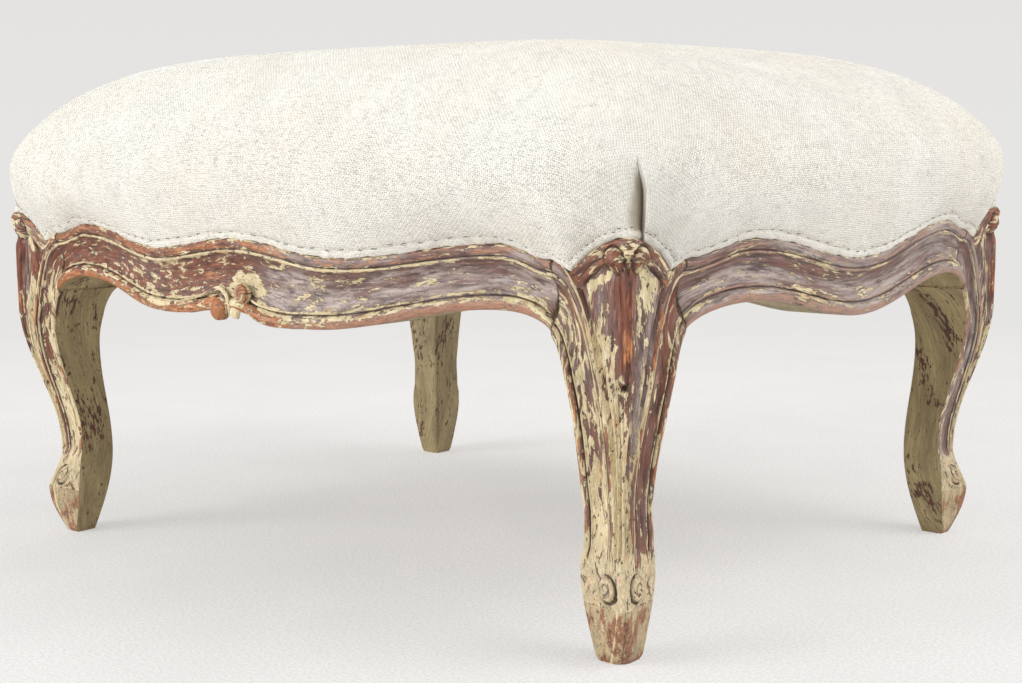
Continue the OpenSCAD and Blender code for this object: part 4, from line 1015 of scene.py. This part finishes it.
# Its round parts, as place, half width and height, rise, how far they stand out, tone, and dirt with
# painted shade: the lobe, the dark bed beside it, whose dark is painted shade in its recess, the button
# and the button's rim
DOMES = (
    (-14.8, 171.8, 6.0, 6.4, 3.4, -1.2, (0.0, 1.0, 0.0), 0.0),
    (-7.2, 174.0, 4.0, 5.2, 0.8, -2.6, (0.0, 0.0, 0.3), 0.6),
    (6.6, 182.0, 5.4, 5.6, 1.4, 0.6, (0.45, 0.75, 0.5), 0.0),
    (6.6, 182.0, 6.0, 6.2, 1.2, -1.0, (0.95, 0.2, 0.3), 0.3),
)
DOME_EDGE = ((1, -1), (1.0, 0.1), (0.96, 0.4), (0.86, 0.65), (0.7, 0.85), (0.45, 0.97), (0.2, 1), (0.02, 1))


def add_motif(store, lines, seed):
    """The carving in the middle of a long rail. One end of the lower bead swells, turns over and hangs as a
    lobe inside a rim. A tongue and a button lie beside it, and from there the bead runs on."""
    def front(x):
        return float(lines(np.array([x / HALF_FRONT]))[0][0])

    for points, count, keys, flatten, tone in STRANDS:
        t = np.linspace(0, 1, count)
        tips = np.sqrt(np.clip(1 - (1 - np.clip(np.minimum(t, 1 - t) / 0.08, 0, 1)) ** 2, 0.0004, 1))
        path = spline([[-x, front(x) + y, z] for x, y, z in points], count)
        strand = tube(path, straight(keys, t) * tips, flatten, (0, 1, 0), 22)
        add_sheet(store, strand, path.mean(0), 0, tone, seed * 19 + path[0, 0])
    for x, z, wide, tall, rise, proud, tone, dirt_and_shade in DOMES:
        turn = np.linspace(0, 2 * math.pi, 34)
        r, h = np.array(DOME_EDGE).T[:, :, None]
        dome = np.stack(np.broadcast_arrays(-x - wide * np.cos(turn) * r, front(x) + proud + h * rise,
                                            z + tall * np.sin(turn) * r), -1)
        add_sheet(store, dome, (-x, front(x) - 12, z), 0, tone, seed + 31 + x, dirt_and_shade=dirt_and_shade)


# Half length, lines, turn, seed, tint (more cream, more bare wood, grey, how much of the cream lines is
# left, how much greyer and paler the hollow's lower part is, a painted sheen), and whether it has the motif
rails = {
    "rail_front": (HALF_FRONT, front_lines, 180, 5, (0.0, 0.05, 0.1, 0.9, 0.0), True),
    "rail_back": (HALF_FRONT, front_lines, 0, 6, (0.0, 0.05, 0.2, 0.9, 0.0), True),
    "rail_right": (HALF_SIDE, side_lines, 270, 7, (-0.08, -0.12, 1.0, 0.3, 0.16), False),
    "rail_left": (HALF_SIDE, side_lines, 90, 8, (0.0, 0.0, 0.6, 0.6, 0.3), False),
}
for name, (length, lines, turn, seed, tint, motif) in rails.items():
    piece = make_rail("moulded_" + name, length, lines, turn, seed, tint, motif)
    for material in (paint, khaki):
        piece.data.materials.append(material)
    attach(piece, "root")
    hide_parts(name)

# Linen cover: one sheet of plain-weave linen drawn over the stuffing, folded to a pleat at each corner,
# with its edge turned under and stitched by hand along the wood.
CROWN_Z = 327.0
WIDE_Z = 256.0
CORNER_R = 68.0
BOW_X = 3.0
BOW_Y = 18.0
HEM_OUT = REBATE_IN - 1.3
WIDE_X = LEG_X + KNEE_OUT + BOW_SIDE - HEM_OUT + 15.0
WIDE_Y = LEG_Y + KNEE_OUT + BOW_FRONT - HEM_OUT + 16.0
ARC_X = WIDE_X - BOW_X - CORNER_R
ARC_Y = WIDE_Y - BOW_Y - CORNER_R
# Where the hem's climb to a crest starts on each leg: along from the leg's middle, and its height
CREST_FOOT = (-9.4, 202.5)
HEM_LIFT = 0.25
HEM_ROW = 4.4
SIDE_EASING = 70
SHOULDER_EASING = 90
STITCH_PITCH = 9.4
CREST_PITCH = 3.6
THREAD = 1.15
LONG_N = 130
CREST_N = 84
SHORT_N = 104
COVER_ROWS = 190
CORNERS = ((1, 1), (1, -1), (-1, -1), (-1, 1))


def gathered(count):
    """Even steps from 0 to 1 that grow finer towards 1, where the pleat is."""
    t = np.linspace(0, 1, count)
    return t * (1.8 - 0.8 * t)


def hem_quarter(d):
    """Foot of the cover from the middle of the long rail, over the crest, to the middle of the short one."""
    s = np.linspace(0, 1, LONG_N, endpoint=False)
    plan, low, top = front_lines(s)
    first = np.stack([HALF_FRONT * s, plan - d, top], -1)
    u = mix(-BLOCK_IN, KNEE_OUT - d, gathered(CREST_N))
    climb = straight([[-BLOCK_IN, FACE_Z], CREST_FOOT], u)
    height = np.where(u < CREST_FOOT[0], climb, crest_line(u))
    knee = np.stack([LEG_X + u, np.full(CREST_N, LEG_Y + KNEE_OUT - d), height], -1)
    other = np.stack([LEG_X + knee[:, 1] - LEG_Y, LEG_Y + knee[:, 0] - LEG_X, height], -1)[::-1][1:]
    s = np.linspace(1, 0, SHORT_N + 1)[1:]
    plan, low, top = side_lines(s)
    last = np.stack([plan - d, HALF_SIDE * s, top], -1)
    return np.concatenate([first, knee, other, last])


def wide_quarter():
    """The cover's widest line over the same quarter, in plan."""
    s = np.linspace(0, 1, LONG_N, endpoint=False)
    first = np.stack([ARC_X * s, ARC_Y + CORNER_R + BOW_Y * (1 - s ** 2)], -1)
    a = gathered(CREST_N) * math.pi / 4
    a = np.concatenate([a, math.pi / 2 - a[::-1][1:]])
    arc = np.stack([ARC_X + CORNER_R * np.sin(a), ARC_Y + CORNER_R * np.cos(a)], -1)
    s = np.linspace(1, 0, SHORT_N + 1)[1:]
    last = np.stack([ARC_X + CORNER_R + BOW_X * (1 - s ** 2), ARC_Y * s], -1)
    return np.concatenate([first, arc, last])


def round_trip(quarter):
    """Mirrors a quarter's line to go once round the stool."""
    parts = []
    for sx, sy in CORNERS:
        part = (quarter[:-1] if sx == sy else quarter[:0:-1]).copy()
        part[:, :2] *= (sx, sy)
        parts.append(part)
    return np.concatenate(parts)


def cover_levels(hem, wide):
    """The cover's skin before it is creased: rows from the hem to the middle of the crown."""
    rows = []
    for t in np.concatenate([np.linspace(0, 0.2, 14, endpoint=False), np.linspace(0.2, 1, 40)]):
        s = math.sin(math.pi / 2 * t)
        z = mix(hem[:, 2] + HEM_LIFT, WIDE_Z, t ** 1.15)
        rows.append(np.stack([mix(hem[:, 0], wide[:, 0], s), mix(hem[:, 1], wide[:, 1], s), z], -1))
    for r in np.concatenate([np.sin(np.linspace(math.pi / 2, 0.75, 34)[1:]), np.linspace(0.68, 0.015, 46)]):
        height = WIDE_Z + (CROWN_Z - WIDE_Z) * (1 - r ** 4.8) ** (1 / 1.26)
        rows.append(np.stack([wide[:, 0] * r, wide[:, 1] * r, np.full(len(hem), height)], -1))
    rows = np.array(rows)
    # Rows at equal steps along the cloth, then the shoulder is eased round
    path = spacing(rows, 0)
    even = np.linspace(0, 1, COVER_ROWS) ** 1.25
    out = np.empty((COVER_ROWS,) + rows.shape[1:])
    for i in range(rows.shape[1]):
        for axis in range(3):
            out[:, i, axis] = np.interp(even * path[-1, i], path[:, i], rows[:, i, axis])
    smooth = out.copy()
    for _ in range(SHOULDER_EASING):
        smooth[1:-1] = 0.25 * smooth[:-2] + 0.5 * smooth[1:-1] + 0.25 * smooth[2:]
    return mix(out, smooth, ease((out[..., 2] - 226) / 22)[..., None])


def fold_side(points, sx, sy):
    """How far points lie to the right of a corner's fold, with the way to the right and the corner."""
    corner = np.array([sx * (LEG_X + KNEE_OUT), sy * (LEG_Y + KNEE_OUT)])
    right = np.array([-sy, sx], float) / math.sqrt(2)
    fold = through([[226, 8.2], [242, 8.0], [260, 4.4]], points[..., 2])
    return (points[..., :2] - corner) @ right - fold, right, corner


def thread_way(points):
    """Which way the threads turn down at each point: off the panel's own edge, and slanting near a corner.
    Low down they change over at the pleat, which swallows the spare cloth."""
    high = ease((points[..., 2] - 238) / 28)
    way = np.zeros(points.shape[:2] + (2,))
    for sx, sy in CORNERS:
        a = fold_side(points, sx, sy)[0]
        slant = np.sin(math.pi / 2 * np.clip(a / mix(45.0, 75.0, high), -1, 1))
        over = (0.5 + 0.5 * mix(np.clip(a / 0.5, -1, 1), slant, mix(0.45, 1.0, high)))[..., None]
        left, right = ((sx, 0.0), (0.0, sy)) if sx == sy else ((0.0, sy), (sx, 0.0))
        mine = (np.sign(points[..., 0] + 1e-6) == sx) & (np.sign(points[..., 1] + 1e-6) == sy)
        way = np.where(mine[..., None], mix(np.array(left), np.array(right), over), way)
    return way / np.maximum(np.linalg.norm(way, axis=2, keepdims=True), 1e-6)


def pleat(points, nrm, sx, sy):
    """The spare cloth of a corner: the left panel dives under the folded edge of the right one. It also
    gives the painted shade in the hollow beside the fold and a painted highlight along the folded edge.
    """
    a, line, corner = fold_side(points, sx, sy)
    left = np.minimum(a, 0)
    z = points[..., 2]
    close = np.exp(-(np.linalg.norm(points[..., :2] - corner, axis=2) / 58) ** 4)
    fade = ease((261 - z) / 17) * close * mix(0.4, 1.0, ease((z - 221) / 7))
    dip = -3.0 * np.exp(left / 3.0) - 1.9 * np.exp(left / 7)
    lip = 0.7 * np.exp(-np.maximum(a, 0) / 22.0)
    step = np.where(a < -0.5, dip, np.where(a > 0.3, lip, mix(-4.9, 0.7, ease((a + 0.5) / 0.8))))
    over = -0.5 * near(a, 0.6, 2.4)
    moved = np.zeros(points.shape)
    out = np.array([sx, sy]) / math.sqrt(2)
    moved[..., :2] = (step * fade)[..., None] * out + (over * fade)[..., None] * line
    # Soft creases fan out above the fold
    crease = 0.8 * np.sin(a / 2.6 + 0.6) * near(a, 0, 14) * near(z, 255, 13) * close
    # Painted shade in the hollow left of the fold, deepest at the fold and spreading wider lower down
    spread = mix(3.0, 8.4, ease((256 - z) / 24))
    hollow = 0.45 * near(left, 0, 3.6) + 0.55 * np.exp(-(left / spread) ** 6)
    dark = fade * mix(0.25, 1.0, ease((257 - z) / 12)) * np.where(a < -0.45, hollow, near(a, -0.45, 0.25))
    # The last mask is a painted highlight along the folded edge
    return moved + nrm * crease[..., None], dark, fade * near(a, 0.8, 1.0)


def add_stitches(store, moved, rise, along):
    """Hand stitches of grey thread above the turned edge: long on the rails, short round the crests."""
    rng = np.random.default_rng(5)
    at = 2.0
    while at < along[-1] - 4:
        col = int(np.searchsorted(along, at))
        start_x, start_y = np.abs(moved[0, col, :2])
        crest = abs(start_x - LEG_X) < 32 and abs(start_y - LEG_Y) < 32
        length = (1.5 if crest else 3.4) * rng.uniform(0.75, 1.25)
        row = int(np.argmin(np.abs(rise[:, col] - HEM_ROW - 0.7 * rng.uniform(-1, 1))))
        ahead = min(int(np.searchsorted(along, at + length)), moved.shape[1] - 1)
        start = moved[row, col]
        out = np.array([start[0], start[1], 0]) / np.linalg.norm(start[:2])
        t = np.linspace(0, 1, 6)[:, None]
        path = start + (moved[row, ahead] - start) * t + out * (0.4 * np.sin(math.pi * t) - 0.08)
        path = path + np.array([0, 0, 0.5 * rng.uniform(-1, 1)]) * t
        add_sheet(store, tube(path, np.full(6, 0.17), 1.0, out, 7), path.mean(0), 1, (0, 0, 0))
        at += (CREST_PITCH if crest else STITCH_PITCH) * rng.uniform(0.8, 1.2)


def make_cover():
    """The cover's skin with its pleats, its turned edge and its stitches."""
    points = cover_levels(round_trip(hem_quarter(1.5)), round_trip(wide_quarter()))
    # The V of the hem at each end of a crest doesn't crease the cloth above it
    eased = points
    for _ in range(SIDE_EASING):
        eased = 0.25 * np.roll(eased, 1, 1) + 0.5 * eased + 0.25 * np.roll(eased, -1, 1)
    points = mix(points, eased, ease((points[..., 2:] - points[:1, :, 2:]) / 10))
    points = np.concatenate([points, points[:, :1]], 1)
    # Threads run with X and Y over the top, and straight down the sides
    path = spacing(points[::-1], 0)[::-1]
    flat = np.linalg.norm(points[..., :2], axis=2)
    uv = points[..., :2] + thread_way(points) * (path - flat)[..., None]
    nrm = normals(points)
    if np.sum(nrm * (points - points.reshape(-1, 3).mean(0))) < 0:
        nrm = -nrm
    z = points[..., 2]
    moved = points + nrm * (waves(points, 21, 60, 1.0) * ease((z - 225) / 25))[..., None]
    shade = np.zeros(z.shape)
    lip_highlight = np.zeros(z.shape)
    # Each pleat adds painted shade beside its fold and a painted highlight along its folded edge
    for sx, sy in CORNERS:
        shift, dark, light = pleat(points, nrm, sx, sy)
        moved = moved + shift
        shade = shade + dark
        lip_highlight = lip_highlight + light
    # The turned edge lies flat under the stitches, which draw the cloth in a little where they go through
    rise = z - z[0]
    along = spacing(points, 1)[0]
    pucker = 0.16 * np.sin(along / 1.7) + 0.22 * np.sin(along / 5.1) + 0.16 * np.sin(along / 2.6 + 1)
    push = 0.45 * near(rise, 1.8, 1.6) - 0.5 * near(rise, HEM_ROW, 0.9) + pucker * near(rise, 3.0, 3.0)
    moved[..., :2] += points[..., :2] / np.maximum(flat, 1e-6)[..., None] * push[..., None]
    wobble = 0.4 * np.sin(along / 3.7) * np.sin(along / 9.1 + 2) + 0.15 * np.sin(along / 1.3)
    moved[..., 2] += (wobble - 0.1) * near(rise, 0, 1.6)
    # The band below the stitches is painted whiter, partly as painted light lifting the shade along the wood
    white = np.exp(-(rise / 4.2) ** 6)
    # The innermost ring closes in the middle of the crown
    skin = np.concatenate([moved, np.broadcast_to(moved[-1].mean(0), moved[:1].shape)])
    threads = np.concatenate([uv, np.broadcast_to(uv[-1].mean(0), uv[:1].shape)])
    lip_highlight, shade, white = (np.concatenate([values, values[-1:]]) for values in (lip_highlight, shade, white))
    store = new_store()
    add_sheet(store, skin, (0, 0, 230.0), 0, (lip_highlight, 0, white), 0.0, threads, shade)
    # The turned edge: the cloth goes back under itself on the ledge
    under = moved[0].copy()
    under[:, :2] -= 3.0 * under[:, :2] / np.linalg.norm(under[:, :2], axis=1, keepdims=True)
    turned = np.stack([moved[0], under])
    add_sheet(store, turned, (0, 0, 400.0), 0, (0, 0, 0), 0.0, np.stack([uv[0], uv[0] * 1.01]))
    add_stitches(store, moved, rise, along)
    return build(store, "linen_seat_cover", lambda p: p, 60)


def linen_cloth():
    """Washed plain-weave linen: off-white and matt, with thick and thin threads both ways and grey gaps. Its
    threads are 1.15 mm apart, as coarse as they need to be to show; real ones lie a little closer."""
    made, tree, shader = new_material("plain_weave_linen")
    uv, tone = sheet_inputs(tree)[::2]
    lip, hem, shade = tone[0], tone[2], tone[3]
    run = node(tree, "Mapping", Scale=(100, 100, 1), Vector=uv).outputs[0]
    wander = node(tree, "TexNoise", Scale=0.1, Detail=3.0, Roughness=0.55, Vector=run).outputs["Color"]
    run = node(tree, "VectorMath", operation="MULTIPLY_ADD", i0=wander, i1=(2.0, 2.0, 0), i2=run).outputs[0]
    ways = node(tree, "SeparateXYZ", Vector=run).outputs[:2]
    over, under, warp, weft = (
        node(tree, "Math", operation="SINE", i0=weighed(tree, (way, turns * math.pi / THREAD))).outputs[0]
        for turns in (1, 2) for way in ways)
    weave = weighed(tree, (warp, 0.3), (weft, 0.3), (weighed(tree, (over, under)), 0.4))
    slub_x = (grain(tree, uv, 1.25, 9, 4, 0.66, 2.0), 1)
    slub_y = (grain(tree, uv, 6, 0.75, 4, 0.66, 5.0), 1)
    thick = weighed(tree, (mask(tree, 0.56, 0.68, slub_x), 1), (mask(tree, 0.54, 0.66, slub_y), 1))
    thin = weighed(tree, (mask(tree, 0.45, 0.33, slub_x), 1), (mask(tree, 0.45, 0.33, slub_y), 1))
    colour = coats(tree, uv, "#fdfbf3", (70, 90, 3, 0.5, 1.0, 0.4, 0.66, 1, "#fbf5e8"),
                   (26, 34, 3, 0.5, 8.0, 0.5, 0.75, 1, "#f5f2ea"))
    colour = lay(tree, thick, colour, "#fdfbf4", 0.4)
    colour = lay(tree, thin, colour, "#b4b0a4", 0.3)
    uneven = mask(tree, 0.35, 0.65, (grain(tree, uv, 30, 30, 3, 0.55, 14.0), 1))
    gaps = weighed(tree, (mask(tree, 0.15, -0.75, (weave, 1)), weighed(tree, (1.0, 0.34), (uneven, 0.38))))
    colour = lay(tree, gaps, colour, "#a09c92")
    # Painted shade in the pleats' hollows and the cloth's other hollows
    colour = lay(tree, mask(tree, 0.0, 0.5, (shade, 1)), colour, "#bdb4a2")
    colour = lay(tree, mask(tree, 0.5, 1.0, (shade, 1)), colour, "#86765b", 0.9)
    # Painted highlight along each pleat's folded edge
    colour = lay(tree, lip, colour, "#fff4ea", 0.8)
    # The hem band is painted whiter, partly as painted light lifting the shade along the wood
    colour = lay(tree, hem, colour, "#fffaf0", 0.5)
    colour = coats(tree, uv, colour, (2.2, 2.2, 2, 0.5, 31.0, 0.78, 0.81, 0.6, "#7d6c50"))
    fill(tree, shader, Specular_IOR_Level=0.25, Sheen_Weight=0.15, Sheen_Roughness=0.5)
    finish(tree, shader, colour, 0.92, weighed(tree, (weave, 0.4), (thick, 0.3)), 1.0, 0.001)
    return made


def plain_thread():
    """Grey linen thread, matt, which reads as small dark dashes on the hem."""
    made, tree, shader = new_material("grey_linen_thread")
    fill(tree, shader, Base_Color="#5d5a52", Roughness=0.85)
    return made


cover = make_cover()
cover.data.materials.append(linen_cloth())
cover.data.materials.append(plain_thread())
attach(cover, "root")
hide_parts("linen_cover")


# Webbing, hessian and stuffings: jute straps nailed across the frame, a base cloth, horsehair with its
# rolled edge and a soft layer on top. They are hidden, so the frame's own pieces stay, each with its cloth.
def coarse_cloth(name, light, dark, pitch, mixed):
    """Loose cloth or fibre: coarse, hairy and uneven, with no shine at all."""
    made, tree, shader = new_material(name)
    place = node(tree, "TexCoord").outputs["Object"]
    big = node(tree, "Mapping", Scale=(1000 / pitch, 1000 / pitch, 1000 / pitch), Vector=place).outputs[0]
    a, b = (node(tree, "Math", operation="SINE", i0=weighed(tree, (way, math.pi))).outputs[0]
            for way in node(tree, "SeparateXYZ", Vector=big).outputs[:2])
    weave = weighed(tree, (a, b))
    fuzz = node(tree, "TexNoise", Scale=0.8, Detail=4.0, Vector=big).outputs[0]
    colour = lay(tree, mask(tree, -0.8, 0.8, (weave, 1)), dark, light)
    colour = lay(tree, fuzz, colour, dark, mixed)
    finish(tree, shader, colour, 0.95, weighed(tree, (weave, 1), (fuzz, 1)), 0.7, 0.0006)
    return made


def dress(start, material):
    """Puts a material on the frame's pieces whose names start so."""
    for name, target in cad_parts.items():
        if name.startswith(start):
            target.data.materials.clear()
            target.data.materials.append(material)


dress("strap_", coarse_cloth("jute_webbing", "#c2a878", "#8a6d43", 2.4, 0.5))
dress("base_cloth", coarse_cloth("hessian", "#b79f74", "#7c6440", 1.8, 0.6))
dress("first_stuffing", coarse_cloth("horsehair", "#5a4636", "#2c211a", 3.0, 0.8))
dress("top_stuffing", coarse_cloth("cotton_wadding", "#e2dccb", "#cfc6af", 6.0, 0.5))


# Pegs: whittled beech pins, driven through each joint from the inside to lock its tenon. They are the
# frame's own pieces too, without paint.
def bare_beech():
    """Beech without paint: tan with fine darker lines along the grain, and a soft dull shine."""
    made, tree, shader = new_material("bare_beech")
    place = node(tree, "TexCoord").outputs["Object"]
    lines = node(tree, "Mapping", Scale=(900, 900, 60), Vector=place).outputs[0]
    rings = node(tree, "TexNoise", Scale=1.0, Detail=4.0, Vector=lines).outputs[0]
    fill(tree, shader, Base_Color=lay(tree, rings, "#8f6a44", "#c39a6c"), Roughness=0.6)
    return made


dress("pegs_", bare_beech())


# Studio: a pale cloth-covered floor that fades into a pale backdrop, under one large soft lamp from the
# left and two weaker ones.
def seen(tree):
    """1 for what the camera sees straight or mirrored, 0 for the light that falls on the stool."""
    ray = node(tree, "LightPath").outputs
    straight_ray = ray["Is Camera Ray"]
    return node(tree, "Math", operation="MAXIMUM", i0=straight_ray, i1=ray["Is Glossy Ray"]).outputs[0]


def studio_floor():
    """Pale matt cloth with faint clouds and a fine tooth, which goes over into the backdrop's even light."""
    made, tree, shader = new_material("pale_floor_cloth")
    place = node(tree, "NewGeometry").outputs["Position"]
    far = node(tree, "VectorMath", operation="LENGTH", i0=place).outputs["Value"]
    away = mask(tree, 0.55, 1.5, (far, 1))
    cloud = node(tree, "TexNoise", Scale=9.0, Detail=3.0, Vector=place).outputs[0]
    weave = node(tree, "TexNoise", Scale=520.0, Detail=3.0, Roughness=0.7, Vector=place).outputs[0]
    base = lay(tree, mask(tree, 0.3, 0.7, (cloud, 1)), "#ebebea", "#f2f1f0")
    base = lay(tree, mask(tree, 0.4, 0.66, (weave, 1)), base, "#dddbd9")
    fill(tree, shader, Specular_IOR_Level=0.1)
    finish(tree, shader, base, 0.95, weave, 0.14, 0.0008)
    glow = node(tree, "Emission", Strength=1.0, Color=lay(tree, away, base, "#e6e5e3")).outputs[0]
    share = weighed(tree, (seen(tree), weighed(tree, (1.0, 0.55), (away, 0.45))))
    mixed = node(tree, "MixShader", i0=share, i1=shader.outputs[0], i2=glow).outputs[0]
    fill(tree, tree.nodes["Material Output"], Surface=mixed)
    return made


mesh = bpy.data.meshes.new("studio_floor")
mesh.from_pydata([(-9, -9, 0), (9, -9, 0), (9, 9, 0), (-9, 9, 0)], [], [(0, 1, 2, 3)])
mesh.materials.append(studio_floor())
floor = bpy.data.objects.new("studio_floor", mesh)
bpy.context.collection.objects.link(floor)

scene = bpy.context.scene
scene.world = bpy.data.worlds.new("studio")
scene.world.use_nodes = True
tree = scene.world.node_tree
height = node(tree, "SeparateXYZ", Vector=node(tree, "TexCoord").outputs["Generated"]).outputs[2]
wall = lay(tree, mask(tree, 0.0, 0.16, (height, 1)), "#e6e5e3", "#e3e1e1")
view = node(tree, "Background", Strength=1.0, Color=wall).outputs[0]
light = fill(tree, tree.nodes["Background"], Color="#fbfaf8", Strength=0.87).outputs[0]
mixed = node(tree, "MixShader", i0=seen(tree), i1=light, i2=view).outputs[0]
fill(tree, tree.nodes["World Output"], Surface=mixed)

# Where each lamp stands, what it is aimed at, its width and height, and its watts
lamps = {
    "key_lamp": ((-1.3, -2.5, 1.3), (0, 0, 0.15), (1.5, 1.2), 49),
    "fill_lamp": ((2.4, 0.4, 1.3), (0, 0, 0.15), (1.6, 1.6), 5),
    "top_lamp": ((1.5, 0.5, 1.8), (0.1, 0, 0.3), (1.2, 1.2), 19),
}
for name, (place, target, (wide, tall), watts) in lamps.items():
    data = bpy.data.lights.new(name, "AREA")
    data.shape = "RECTANGLE"
    data.size = wide
    data.size_y = tall
    data.energy = watts
    made = bpy.data.objects.new(name, data)
    made.location = place
    made.rotation_euler = (Vector(target) - Vector(place)).to_track_quat("-Z", "Y").to_euler()
    bpy.context.collection.objects.link(made)

# Camera at the photograph's viewing angle, turned about the stool, tipped down and rolled a little
AZIMUTH = math.radians(40.254)
PITCH = math.radians(7.047)
ROLL = math.radians(-0.3696)
EYE = (0.7311, -0.8551, 0.27)
data = bpy.data.cameras.new("camera")
data.sensor_width = 36.0
data.lens = 58.47
camera = bpy.data.objects.new("camera", data)
level = np.array([-math.sin(AZIMUTH), math.cos(AZIMUTH), 0.0])
forward = level * math.cos(PITCH) - np.array([0.0, 0.0, math.sin(PITCH)])
right = np.array([math.cos(AZIMUTH), math.sin(AZIMUTH), 0.0])
up = np.cross(right, forward)
tipped_right = right * math.cos(ROLL) + up * math.sin(ROLL)
tipped_up = -right * math.sin(ROLL) + up * math.cos(ROLL)
turned = np.column_stack([tipped_right, tipped_up, -forward, EYE])
camera.matrix_world = Matrix(np.vstack([turned, [0, 0, 0, 1]]).tolist())
bpy.context.collection.objects.link(camera)
scene.camera = camera
scene.view_settings.view_transform = "Standard"
